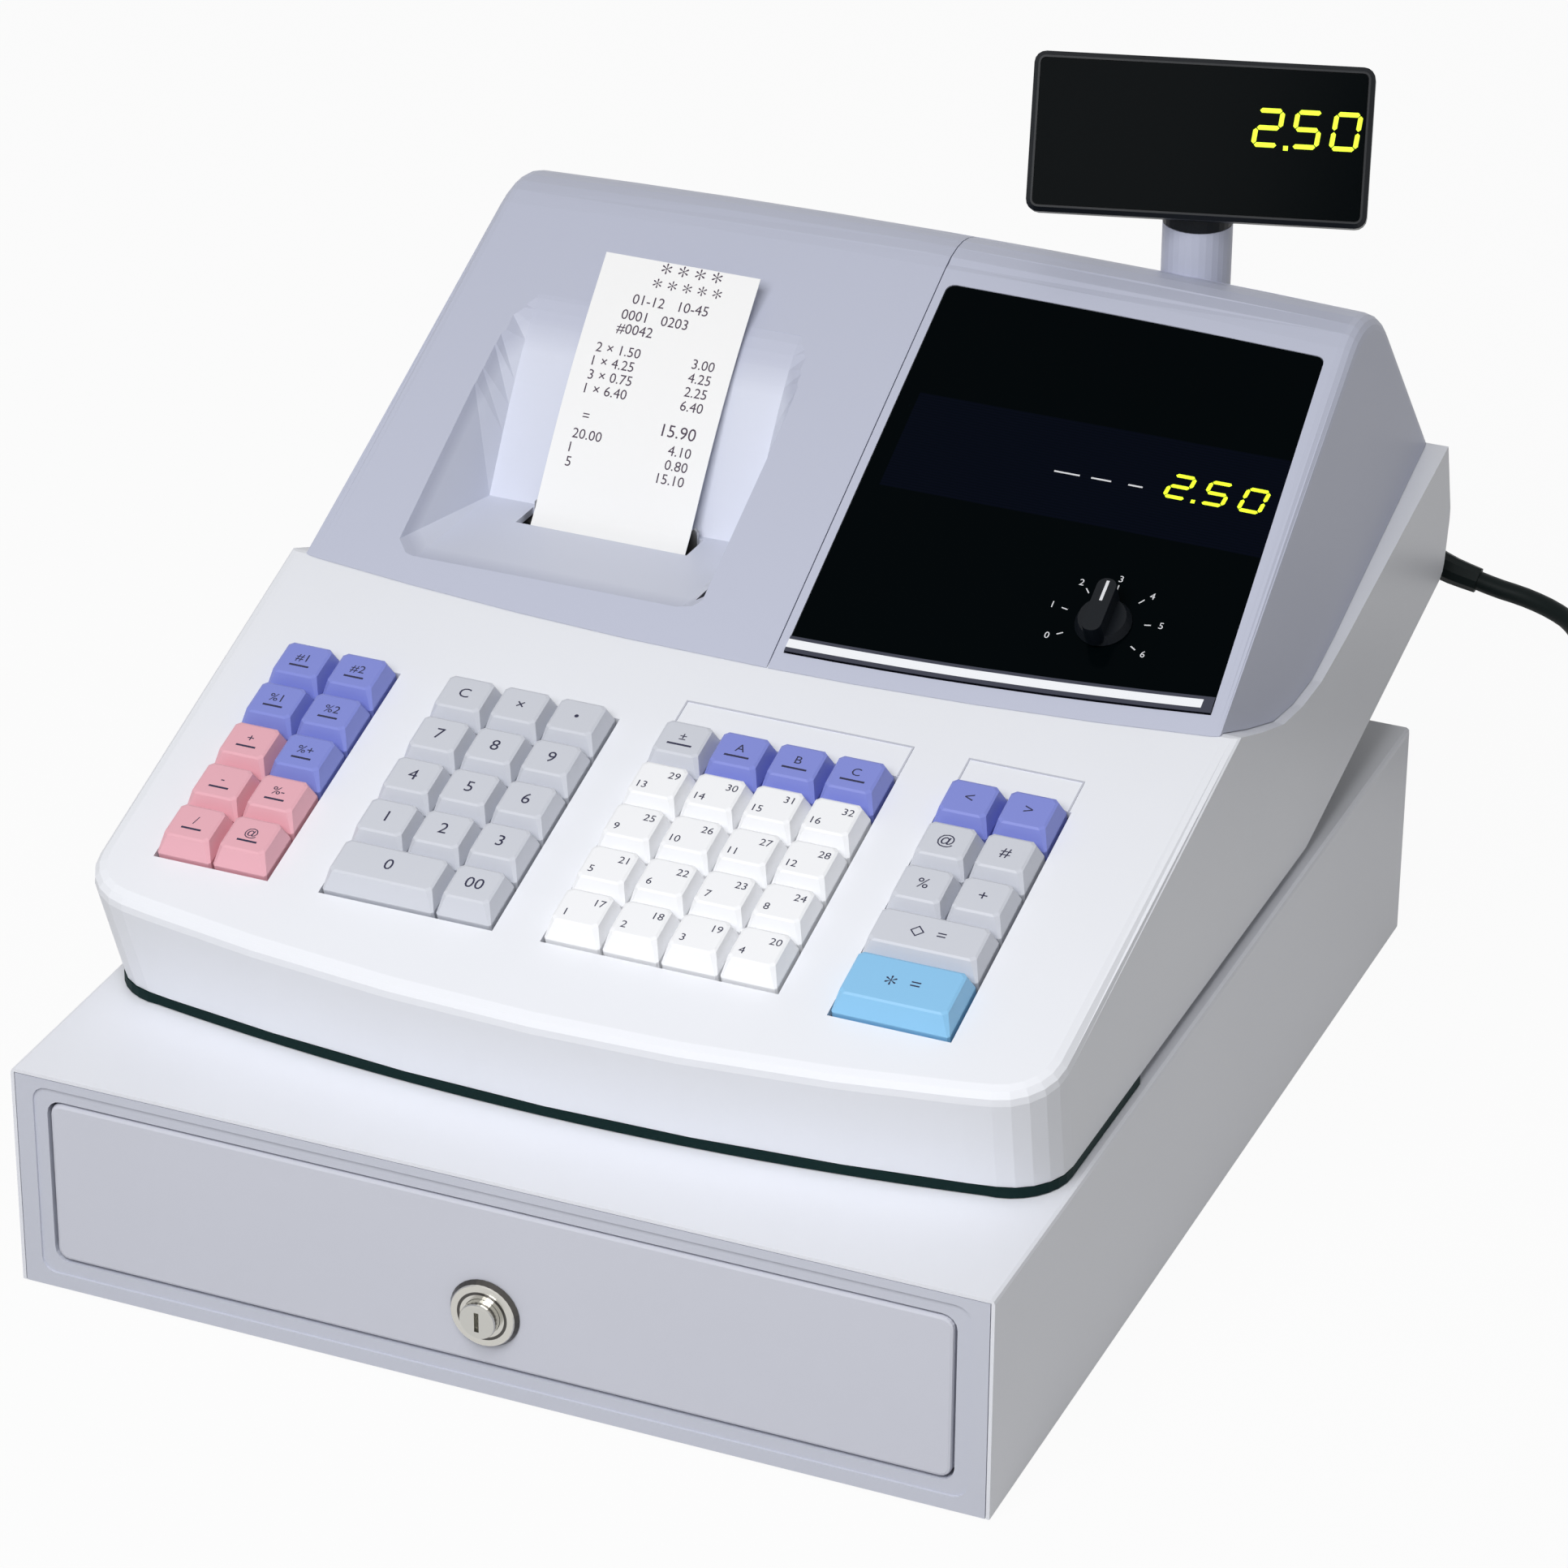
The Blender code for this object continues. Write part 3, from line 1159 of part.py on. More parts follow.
def hood_side(x):
    """(y, z) outline of the hood at one place across, anticlockwise, and the count of its bottom edges."""
    front_y = junction_y(x)
    front = (front_y, JUNCTION_Z + (front_y - JUNCTION_Y) * tan(DECK_SLOPE) + SEAT_GAP)
    rim = [(y, z + SEAT_GAP) for y, z in rim_points()][::-1]
    centre_y = RIDGE_Y - ridge_bow(x) * cos(COVER_SLOPE) + HOOD_ROLL_RADIUS * sin(COVER_SLOPE)
    centre_z = RIDGE_Z - ridge_bow(x) * sin(COVER_SLOPE) - HOOD_ROLL_RADIUS * cos(COVER_SLOPE)
    roll = []
    for step in range(HOOD_ROLL_STEPS + 1):
        angle = HOOD_BACK_SLOPE - (HOOD_BACK_SLOPE + COVER_SLOPE) * step / HOOD_ROLL_STEPS
        roll.append((centre_y + HOOD_ROLL_RADIUS * sin(angle), centre_z + HOOD_ROLL_RADIUS * cos(angle)))
    rise = (rim[-1][1] - rim[-2][1]) / (rim[-1][0] - rim[-2][0])
    fall = tan(HOOD_BACK_SLOPE)
    heel_y = (roll[0][1] + fall * roll[0][0] - rim[-1][1] + rise * rim[-1][0]) / (rise + fall)
    heel = (heel_y, rim[-1][1] + rise * (heel_y - rim[-1][0]))
    return [front, *rim[:-1], heel, *roll], len(rim)


def hood_solid(gap=0.0):
    """The hood filled in; a gap moves its skin inwards and opens it below, and a negative gap grows it."""
    stations = []
    for share in HOOD_STATION_SHARES:
        points, bottom = hood_side(share * BODY_HALF_WIDTH * HOOD_SPAN_SHARE)
        gaps = [gap] * len(points)
        if gap > 0:
            gaps[:bottom] = [-OVERRUN] * bottom
        outline = inset(points, gaps) if gap else [Vector(point) for point in points]
        stations.append([(share * (hood_half(point.y) - gap), point.x, point.y) for point in outline])
    return loft("hood", stations)


def hood_shell_solid():
    hood = hood_solid()

    def above_rim(mid, along, edge):
        low = min(edge.verts[0].co.z, edge.verts[1].co.z)
        on_face = any(abs(face.normal.x) > 0.8 for face in edge.link_faces)
        tops = any(face.normal.z > 0.2 or face.normal.y > 0.5 for face in edge.link_faces)
        return on_face and tops and mid.z > low

    soften(hood, HOOD_EDGE_RADIUS, 4, above_rim)
    return hood


def crown(x, s):
    """Height of the hood's face over the cover plane."""
    front_y = junction_y(x)
    front_z = JUNCTION_Z + (front_y - JUNCTION_Y) * tan(DECK_SLOPE) + SEAT_GAP
    start = COVER.inverted() @ Vector((0, front_y, front_z))
    ridge_s = HOOD_RIDGE_REACH / cos(COVER_SLOPE) - ridge_bow(x)
    return start.z * (ridge_s - s) / (ridge_s - start.y)


def face_point(y):
    """(y, z) point on the cover's face over the middle of the paper."""
    run = y - JUNCTION_Y
    rise = crown(PAPER_X, run / cos(COVER_SLOPE)) / cos(COVER_SLOPE)
    return Vector((y, JUNCTION_Z + run * tan(COVER_SLOPE) + rise))


def pocket_side(depth_share):
    """(y, z) outline of the printer pocket: a floor, and a back that curves over into the cover's face."""
    front = Vector((JUNCTION_Y + POCKET_FRONT, POCKET_FLOOR_Z + POCKET_FALL))
    foot = Vector((JUNCTION_Y + POCKET_DEPTH, POCKET_FLOOR_Z))
    end = face_point(JUNCTION_Y + POCKET_REACH)
    below = end.y - foot.y - (end.x - foot.x) * tan(COVER_SLOPE)
    lean_run = below / (tan(POCKET_RISE) - tan(COVER_SLOPE))
    lean = foot + Vector((lean_run, lean_run * tan(POCKET_RISE)))
    outline = [front]
    for step in range(POCKET_STEPS + 1):
        share = step / POCKET_STEPS
        outline.append(foot * (1 - share) ** 2 + lean * (2 * share * (1 - share)) + end * share**2)
    made = []
    for point in outline:
        face = face_point(point.x).y + OVERRUN * (1 - depth_share)
        made.append(Vector((point.x, face + (point.y - face) * depth_share)))
    rise = Vector((-sin(COVER_SLOPE), cos(COVER_SLOPE))) * POCKET_DEPTH / 2
    return [*made, made[-1] + rise, made[0] + rise]


def pocket_solid(wall=0.0):
    drawn = pocket_side(0.0)
    full = pocket_side(1.0)
    if wall:
        full = inset(full, [-wall] * len(full))
        drawn = inset(pocket_side(POCKET_DRAWN_SHARE), [-wall] * len(full))
    stations = []
    left, right = POCKET_LEFT_X - wall, POCKET_RIGHT_X + wall
    spans = ((left, drawn), (left + POCKET_DRAFT, full), (right - POCKET_DRAFT, full), (right, drawn))
    for x, outline in spans:
        stations.append([(x, point.x, point.y) for point in outline])
    return loft("pocket", stations)


def half_space(name, low_x, high_x):
    reach = CABINET_WIDTH
    return box(name, (low_x, -reach, 0), (high_x, reach, reach))


def printer_cover():
    cover = hood_shell_solid()
    room = hood_solid(HOOD_WALL)
    cut(room, pocket_solid(POCKET_WALL))
    cut(cover, room, pocket_solid())
    half = PAPER_WIDTH / 2 + SLOT_MARGIN
    slot = box(
        "slot",
        (PAPER_X - half, PAPER_EXIT - SLOT_FRONT_ROOM, POCKET_FLOOR_Z - POCKET_WALL * 2),
        (PAPER_X + half, PAPER_EXIT + SLOT_BACK_ROOM, POCKET_FLOOR_Z + POCKET_FALL * 2),
    )
    cut(cover, slot)
    meet(cover, half_space("left", -CABINET_WIDTH, HOOD_SEAM_X - HOOD_SEAM_GAP / 2))
    return finish(cover, "printer_cover", "hood_grey")


def window_right(s):
    """The window's right edge, which leans in towards the top."""
    return WINDOW_RIGHT_X - WINDOW_RIGHT_DRAFT * s / WINDOW_TOP


def window_bottom(past, gap):
    """(x, s) points along the junction's bow, a set way past it, between the window's sides."""
    left = WINDOW_LEFT_X + gap
    bow = (junction_y(WINDOW_RIGHT_X) - JUNCTION_Y) / cos(COVER_SLOPE) + past
    right = window_right(bow) - gap
    made = []
    for index in range(WINDOW_STEPS + 1):
        x = left + (right - left) * index / WINDOW_STEPS
        made.append((x, (junction_y(x) - JUNCTION_Y) / cos(COVER_SLOPE) + past))
    return made


def window_outline(past, gap):
    """(x, s) outline of the display window on the cover plane; past is where it starts from the junction."""
    bottom = window_bottom(past + gap, gap)
    left = WINDOW_LEFT_X + gap
    right = window_right(WINDOW_TOP) - gap
    top = []
    for index in range(WINDOW_STEPS + 1):
        x = right + (left - right) * index / WINDOW_STEPS
        top.append((x, WINDOW_TOP - gap - ridge_bow(x)))
    corner = [WINDOW_RADIUS]
    return rounded(bottom + top, [0] * len(bottom) + corner + [0] * (WINDOW_STEPS - 1) + corner, 4)


def cover_plate(name, outline, low, high):
    made = plate(name, outline, low, high, "Z")
    made.data.transform(COVER)
    return made


def display_housing():
    housing = hood_shell_solid()
    cut(housing, hood_solid(HOOD_WALL))
    thick = CABINET_HEIGHT / 8
    recess = cover_plate("recess", window_outline(TRIM_START - WINDOW_GAP, -WINDOW_GAP), -WINDOW_SEAT * 2, thick)
    cut(recess, hood_solid(WINDOW_SEAT))
    through = cover_plate("through", window_outline(TRIM_START, WINDOW_LEDGE), -thick * 2, thick)
    cut(housing, recess, through)
    top_z = RIDGE_Z + HOOD_ROLL_RADIUS * (1 - cos(COVER_SLOPE))
    guide = drum("guide", (POLE_X, POLE_Y, JUNCTION_Z + POLE_GUIDE_LENGTH), (POLE_X, POLE_Y, top_z), POLE_RADIUS + POLE_GUIDE_WALL)
    meet(guide, hood_solid(HOOD_WALL / 2))
    join(housing, guide)
    cut(housing, drum("bore", (POLE_X, POLE_Y, JUNCTION_Z), (POLE_X, POLE_Y, top_z + OVERRUN), POLE_RADIUS + RUNNING_GAP))
    meet(housing, half_space("right", HOOD_SEAM_X + HOOD_SEAM_GAP / 2, CABINET_WIDTH))
    return finish(housing, "display_housing", "hood_grey")


def display_window():
    thick = CABINET_HEIGHT / 8
    pane = cover_plate("pane", window_outline(TRIM_START + TRIM_WIDTH + WINDOW_GAP, 0), -WINDOW_SEAT * 2, thick)
    meet(pane, hood_solid(WINDOW_FLUSH))
    cut(pane, hood_solid(WINDOW_SEAT - SEAT_GAP))
    hole = drum("hole", (SWITCH_X, SWITCH_S, -thick), (SWITCH_X, SWITCH_S, thick), SWITCH_SHAFT_RADIUS + RUNNING_GAP, segments=24)
    hole.data.transform(COVER)
    cut(pane, hole)
    return finish(pane, "display_window", "window_black")


def window_trim():
    thick = CABINET_HEIGHT / 8
    outline = window_bottom(TRIM_START, 0.0) + window_bottom(TRIM_START + TRIM_WIDTH, 0.0)[::-1]
    trim = cover_plate("trim", outline, -WINDOW_SEAT * 2, thick)
    meet(trim, hood_solid(-TRIM_PROUD))
    cut(trim, hood_solid(WINDOW_SEAT - SEAT_GAP))
    return finish(trim, "window_trim", "chrome")


def display_module():
    """The board under the window, with the display tube and the mode switch's body."""
    top = -HOOD_WALL - SEAT_GAP
    left = WINDOW_LEFT_X + MODULE_MARGIN
    right = WINDOW_RIGHT_X - WINDOW_RIGHT_DRAFT - MODULE_MARGIN
    low = SWITCH_S - SWITCH_RADIUS * 2
    board = box("board", (left, low, top - MODULE_THICKNESS), (right, WINDOW_TOP - MODULE_MARGIN, top))
    lift = -WINDOW_SEAT - SEAT_GAP
    glass = box("glass", (TUBE_LEFT_X, TUBE_LOW, top - MODULE_THICKNESS / 2), (right, TUBE_HIGH, lift))
    join(board, glass)
    body = drum("body", (SWITCH_X, SWITCH_S, top - SWITCH_RADIUS), (SWITCH_X, SWITCH_S, top), SWITCH_RADIUS, segments=24)
    join(board, body)
    bore = drum("bore", (SWITCH_X, SWITCH_S, top - SWITCH_RADIUS - OVERRUN), (SWITCH_X, SWITCH_S, OVERRUN), SWITCH_SHAFT_RADIUS + RUNNING_GAP, segments=24)
    cut(board, bore)
    board.data.transform(COVER)
    return finish(board, "display_module", "board_green")


def mode_switch():
    face = crown(SWITCH_X, SWITCH_S) + SEAT_GAP
    knob = drum(
        "knob",
        (SWITCH_X, SWITCH_S, face),
        (SWITCH_X, SWITCH_S, face + SWITCH_HEIGHT),
        SWITCH_RADIUS,
        SWITCH_RADIUS - SWITCH_HEIGHT / 2,
        segments=24,
    )
    shaft = drum(
        "shaft",
        (SWITCH_X, SWITCH_S, -HOOD_WALL - SWITCH_RADIUS),
        (SWITCH_X, SWITCH_S, face + SWITCH_HEIGHT / 2),
        SWITCH_SHAFT_RADIUS,
        segments=24,
    )
    half = GRIP_WIDTH / 2
    long = GRIP_LENGTH / 2
    outline = [(-half, -long), (half, -long), (half, long), (-half, long)]
    outline = [(x + SWITCH_X, s + SWITCH_S) for x, s in rounded(outline, [half * 0.9] * 4, 4)]
    grip = plate("grip", outline, face + SWITCH_HEIGHT / 2, face + GRIP_HEIGHT + SWITCH_HEIGHT, "Z")
    join(knob, shaft, grip)
    knob.data.transform(COVER)
    return finish(knob, "mode_switch", "black_plastic", COVER @ Matrix.Translation((SWITCH_X, SWITCH_S, 0)))


# Printer inside the left half


def paper_path(offset=0.0):
    """(y, z) points of the paper from the platen through the slot to its loose end."""
    along = Vector((cos(PAPER_SLOPE), sin(PAPER_SLOPE)))
    across = Vector((-sin(PAPER_SLOPE), cos(PAPER_SLOPE)))
    start = Vector((PAPER_EXIT, PAPER_EXIT_Z))
    below = [start - along * (PLATEN_RADIUS * share) for share in (PLATEN_TOUCH_SHARE, 1.0)]
    points = below + [start]
    steps = 10
    for index in range(1, steps + 1):
        share = index / steps
        points.append(start + along * PAPER_LENGTH * share + across * PAPER_CURL * sin(pi * share))
    return [point + across * offset for point in points]


def platen_place():
    """The platen's axis, with the paper lying on it."""
    along = Vector((cos(PAPER_SLOPE), sin(PAPER_SLOPE)))
    across = Vector((-sin(PAPER_SLOPE), cos(PAPER_SLOPE)))
    touch = Vector((PAPER_EXIT, PAPER_EXIT_Z)) - along * PLATEN_RADIUS * PLATEN_TOUCH_SHARE
    return touch - across * (PLATEN_RADIUS + PAPER_THICKNESS / 2 + SEAT_GAP)


def receipt_strip():
    face = paper_path(PAPER_THICKNESS / 2)
    back = paper_path(-PAPER_THICKNESS / 2)
    half = PAPER_WIDTH / 2
    strip = plate("strip", back + face[::-1], PAPER_X - half, PAPER_X + half, "X")
    return finish(strip, "receipt_strip", "paper")


def cheeks():
    half = PAPER_WIDTH / 2 + CHEEK_GAP
    return half, half + CHEEK_THICKNESS


def printer_frame():
    inner, outer = cheeks()
    axis = platen_place()
    base = BODY_BOTTOM_Z + PAN_THICKNESS + SEAT_GAP
    slot_half = SPINDLE_END_RADIUS + RUNNING_GAP
    back = ROLL_Y + slot_half * 3
    pan_rise = BODY_BOTTOM_Z + PAN_THICKNESS * 2 + SEAT_GAP
    knee_y = JUNCTION_Y + BODY_LENGTH * UNDERSIDE_SHARES[0][0]
    slope = UNDERSIDE_SHARES[1][1] * (JUNCTION_Z - BODY_BOTTOM_Z)
    slope /= (UNDERSIDE_SHARES[1][0] - UNDERSIDE_SHARES[0][0]) * BODY_LENGTH
    back_z = pan_rise + (back - knee_y) * slope
    outline = [
        (CHEEK_FRONT_Y, base),
        (knee_y - PAN_THICKNESS, base),
        (back, back_z),
        (back, ROLL_Z + SPINDLE_END_RADIUS),
        (ROLL_Y + slot_half, ROLL_Z + SPINDLE_END_RADIUS),
        (ROLL_Y + slot_half, ROLL_Z - slot_half),
        (ROLL_Y - slot_half, ROLL_Z - slot_half),
        (ROLL_Y - slot_half, ROLL_Z + SPINDLE_END_RADIUS),
        (ROLL_Y - slot_half * 3, ROLL_Z + SPINDLE_END_RADIUS),
        (PAPER_EXIT + TEAR_BAR_GAP + TEAR_BAR_FOOT, CHEEK_TOP_Z),
        (CHEEK_FRONT_Y, CHEEK_TOP_Z),
    ]
    frame = plate("left", outline, PAPER_X - outer, PAPER_X - inner, "X")
    other = plate("right", outline, PAPER_X + inner, PAPER_X + outer, "X")
    tie_top = CHEEK_TOP_Z - PLATEN_RADIUS * 5
    bed = box("bed", (PAPER_X - outer, CHEEK_FRONT_Y, tie_top - CHEEK_THICKNESS), (PAPER_X + outer, axis.x + ROLL_CORE_RADIUS, tie_top))
    bore = drum(
        "bore",
        (PAPER_X - outer - OVERRUN, axis.x, axis.y),
        (PAPER_X + outer + OVERRUN, axis.x, axis.y),
        PLATEN_END_RADIUS + RUNNING_GAP,
        segments=24,
    )
    join(frame, other, bed)
    cut(frame, bore)
    return finish(frame, "printer_frame", "zinc")


def platen_roller():
    inner, outer = cheeks()
    axis = platen_place()
    half = inner - SLIDE_GAP
    roller = drum("platen", (PAPER_X - half, axis.x, axis.y), (PAPER_X + half, axis.x, axis.y), PLATEN_RADIUS, segments=24)
    shaft = drum("shaft", (PAPER_X - outer, axis.x, axis.y), (PAPER_X + outer, axis.x, axis.y), PLATEN_END_RADIUS, segments=24)
    join(roller, shaft)
    return finish(roller, "platen_roller", "rubber", Matrix.Translation((PAPER_X, axis.x, axis.y)))


def turned(name, outline, centre):
    """A profile of (radius, along) points turned about the X axis through the centre."""
    mesh = bpy.data.meshes.new(name)
    points = [(radius, 0, along) for radius, along in outline]
    edges = [(i, (i + 1) % len(points)) for i in range(len(points))]
    mesh.from_pydata(points, edges, [])
    holder = bpy.data.objects.new(name, mesh)
    CUTTERS.objects.link(holder)
    screw = holder.modifiers.new("turn", "SCREW")
    screw.steps = 32
    screw.render_steps = 32
    screw.use_merge_vertices = True
    screw.merge_threshold = WELD
    bpy.context.view_layer.update()
    made = meshed(holder, name)
    made.data.transform(Matrix.Translation(centre) @ Matrix.Rotation(pi / 2, 4, "Y"))
    return made


def paper_roll():
    half = PAPER_WIDTH / 2
    outline = [
        (ROLL_CORE_RADIUS, half),
        (ROLL_RADIUS - KEY_SOFT, half),
        (ROLL_RADIUS, half - KEY_SOFT),
        (ROLL_RADIUS, -half + KEY_SOFT),
        (ROLL_RADIUS - KEY_SOFT, -half),
        (ROLL_CORE_RADIUS, -half),
    ]
    roll = turned("roll", outline, (PAPER_X, ROLL_Y, ROLL_Z))
    return finish(roll, "paper_roll", "paper", Matrix.Translation((PAPER_X, ROLL_Y, ROLL_Z)))


def paper_spindle():
    inner, outer = cheeks()
    spindle = drum(
        "spindle",
        (PAPER_X - inner + SLIDE_GAP, ROLL_Y, ROLL_Z),
        (PAPER_X + inner - SLIDE_GAP, ROLL_Y, ROLL_Z),
        ROLL_CORE_RADIUS - RUNNING_GAP,
    )
    ends = drum("ends", (PAPER_X - outer, ROLL_Y, ROLL_Z), (PAPER_X + outer, ROLL_Y, ROLL_Z), SPINDLE_END_RADIUS)
    join(spindle, ends)
    return finish(spindle, "paper_spindle", "tray_grey", Matrix.Translation((PAPER_X, ROLL_Y, ROLL_Z)))


def tear_bar():
    """The serrated bar behind the paper, standing up through the slot."""
    inner, outer = cheeks()
    half = PAPER_WIDTH / 2 + SLOT_MARGIN / 2
    low = CHEEK_TOP_Z + SEAT_GAP
    high = POCKET_FLOOR_Z + POCKET_FALL + TEAR_TOOTH
    pitch = 2 * half / TEAR_TEETH
    outline = [(low, PAPER_X - half)]
    for index in range(TEAR_TEETH):
        x = PAPER_X - half + index * pitch
        outline += [(high, x), (high + TEAR_TOOTH, x + pitch / 2)]
    outline += [(high, PAPER_X + half), (low, PAPER_X + half)]
    front = PAPER_EXIT + TEAR_BAR_GAP
    bar = plate("bar", outline[::-1], front, front + TEAR_BAR_THICKNESS, "Y")
    foot = box("foot", (PAPER_X - outer, front, low), (PAPER_X + outer, front + TEAR_BAR_FOOT, low + TEAR_BAR_THICKNESS))
    return finish(join(bar, foot), "tear_bar", "zinc")


# Pole and customer display


def display_pole():
    pole = drum("pole", (POLE_X, POLE_Y, POLE_BOTTOM_Z), (POLE_X, POLE_Y, POLE_TOP_Z), POLE_RADIUS)
    spigot = drum("spigot", (POLE_X, POLE_Y, POLE_TOP_Z - OVERRUN), (POLE_X, POLE_Y, POLE_TOP_Z + SPIGOT_LENGTH), SPIGOT_RADIUS)
    join(pole, spigot)
    return finish(pole, "display_pole", "hood_grey", Matrix.Translation((POLE_X, POLE_Y, POLE_TOP_Z)))


def head_outline(gap):
    half_x, half_z = HEAD_WIDTH / 2 - gap, HEAD_HEIGHT / 2 - gap
    corners = [(-half_z, -half_x), (half_z, -half_x), (half_z, half_x), (-half_z, half_x)]
    return rounded(corners, [max(HEAD_RADIUS - gap, HEAD_EDGE)] * 4, 4)


def display_head():
    rows = ((0.0, HEAD_EDGE), (HEAD_EDGE, 0.0), (HEAD_DEPTH * HEAD_SQUARE_SHARE, 0.0), (HEAD_DEPTH - HEAD_EDGE, HEAD_TAPER), (HEAD_DEPTH, HEAD_TAPER + HEAD_EDGE))
    rings = [[(x, along, z) for z, x in head_outline(gap)] for along, gap in rows]
    head = loft("head", rings)
    head.data.transform(FACE)
    neck = drum("neck", (POLE_X, POLE_Y, POLE_TOP_Z + SEAT_GAP), (POLE_X, POLE_Y, NECK_TOP_Z), POLE_RADIUS)
    soften(neck, HEAD_EDGE, 2, lambda mid, along, edge: mid.z > NECK_TOP_Z - WELD)
    join(head, neck)
    bore_top = POLE_TOP_Z + SPIGOT_LENGTH + SEAT_GAP
    cut(head, drum("bore", (POLE_X, POLE_Y, POLE_TOP_Z - OVERRUN), (POLE_X, POLE_Y, bore_top), SPIGOT_RADIUS + RUNNING_GAP))
    recess = plate("recess", head_outline(HEAD_FRAME), -OVERRUN, HEAD_WINDOW_THICKNESS + SEAT_GAP, "Y")
    recess.data.transform(FACE)
    cut(head, recess)
    return finish(head, "display_head", "black_plastic", Matrix.Translation((POLE_X, POLE_Y, POLE_TOP_Z)) @ Matrix.Rotation(HEAD_SWIVEL, 4, "Z"))


def head_window():
    pane = plate("pane", head_outline(HEAD_FRAME + WINDOW_GAP), 0, HEAD_WINDOW_THICKNESS, "Y")
    pane.data.transform(FACE)
    return finish(pane, "head_window", "window_black", FACE)


# Keys


def key_cap(x, s, wide=1, extra=0.0):
    """One cap with its stem: (x, s) is the middle of its first place on the deck."""
    left = x - KEY_PITCH / 2 + KEY_GAP / 2
    right = x + KEY_PITCH * (wide - 0.5) - KEY_GAP / 2
    front = s - KEY_PITCH / 2 + KEY_GAP / 2 - extra
    back = s + KEY_PITCH / 2 - KEY_GAP / 2
    middle_x, middle_s = (left + right) / 2, (front + back) / 2
    stem = KEY_STEM / 2

    def ring(bounds, corner, height):
        low_x, low_s, high_x, high_s = bounds
        corners = [(low_x, low_s), (high_x, low_s), (high_x, high_s), (low_x, high_s)]
        return [(point.x, point.y, height) for point in rounded(corners, [corner] * 4, 1)]

    post = (middle_x - stem, middle_s - stem, middle_x + stem, middle_s + stem)
    base = (left, front, right, back)
    top = (left + KEY_SIDE_SLOPE, front + KEY_FRONT_SLOPE, right - KEY_SIDE_SLOPE, back - KEY_BACK_SLOPE)
    soft = (top[0] + KEY_SOFT, top[1] + KEY_SOFT, top[2] - KEY_SOFT, top[3] - KEY_SOFT)
    rings = [
        ring(post, KEY_SOFT / 2, -KEY_SKIRT - KEY_STEM_LENGTH),
        ring(post, KEY_SOFT / 2, -KEY_SKIRT),
        ring(base, KEY_CORNER / 2, -KEY_SKIRT),
        ring(base, KEY_CORNER / 2, KEY_SOFT),
        ring(top, KEY_CORNER, KEY_RISE - KEY_SOFT / 2),
        ring(soft, KEY_CORNER, KEY_RISE),
    ]
    return rings


def key_rows():
    """The keys that move by themselves: node name, material, block, column, row and width in places."""
    names = ("key_correct", "key_times", "key_point", "key_7", "key_8", "key_9", "key_4", "key_5", "key_6", "key_1", "key_2", "key_3")
    rows = [(name, "key_grey", 1, index % 3, index // 3, 1) for index, name in enumerate(names)]
    rows += [
        ("key_0", "key_grey", 1, 0, 4, 2),
        ("key_00", "key_grey", 1, 2, 4, 1),
        ("key_blue_left", "key_blue", 3, 0, 0, 1),
        ("key_blue_right", "key_blue", 3, 1, 0, 1),
        ("key_credit", "key_grey", 3, 0, 1, 1),
        ("key_cheque", "key_grey", 3, 1, 1, 1),
        ("key_charge", "key_grey", 3, 0, 2, 1),
        ("key_tax", "key_grey", 3, 1, 2, 1),
        ("key_subtotal", "key_grey", 3, 0, 3, 2),
        ("key_total", "key_total", 3, 0, 4, 2),
    ]
    return rows


def key_place(block, column, row):
    return pad_lefts()[block] + (column + HALF_SHARE) * KEY_PITCH, -KEYPAD_TOP - (row + HALF_SHARE) * KEY_PITCH


def keys():
    for name, material, block, column, row, wide in key_rows():
        x, s = key_place(block, column, row)
        extra = TOTAL_EXTRA if name == "key_total" else 0.0
        cap = loft(name, key_cap(x, s, wide, extra))
        cap.data.transform(DECK)
        finish(cap, name, material, DECK @ Matrix.Translation((x, s, 0)))


def keypad(block, name, material):
    """A block of caps that stand on the switch strip that carries them, as one piece."""
    columns = PAD_COLUMNS[block]
    left = pad_lefts()[block]
    low = -KEYPAD_TOP - PAD_ROWS * KEY_PITCH
    strip_top = -KEY_SKIRT - KEY_STEM_LENGTH + OVERRUN
    strip = box("strip", (left, low, -BOARD_DROP + SEAT_GAP), (left + columns * KEY_PITCH, -KEYPAD_TOP, strip_top))
    bm = bmesh.new()
    for column in range(columns):
        for row in range(PAD_ROWS):
            cap = loft("cap", key_cap(*key_place(block, column, row)))
            bm.from_mesh(cap.data)
            bpy.data.objects.remove(cap, do_unlink=True)
    join(strip, from_bmesh("caps", bm))
    strip.data.transform(DECK)
    return finish(strip, name, material, DECK)


def keyboard_board():
    blocks = key_blocks()
    left = blocks[0][0] - BOARD_MARGIN
    right = blocks[-1][1] + BOARD_MARGIN
    low = blocks[-1][2] - BOARD_MARGIN / 2
    high = blocks[0][3] + BOARD_MARGIN
    board = box("board", (left, low, -BOARD_DROP - BOARD_THICKNESS), (right, high, -BOARD_DROP))
    bodies, holes = [], []
    half = SWITCH_BODY / 2
    stem = KEY_STEM / 2 + STEM_GAP
    top = -BOARD_DROP + SWITCH_BODY_HEIGHT
    for name, material, block, column, row, wide in key_rows():
        x, s = key_place(block, column, row)
        x += KEY_PITCH * (wide - 1) / 2
        s -= TOTAL_EXTRA / 2 if name == "key_total" else 0.0
        bodies.append(((x - half, s - half, -BOARD_DROP - BOARD_THICKNESS / 2), (x + half, s + half, top)))
        holes.append(((x - stem, s - stem, -BOARD_DROP + SEAT_GAP), (x + stem, s + stem, top + OVERRUN)))
    join(board, boxes("bodies", bodies))
    cut(board, boxes("holes", holes))
    board.data.transform(DECK)
    return finish(board, "keyboard_board", "board_green")


# Mains lead


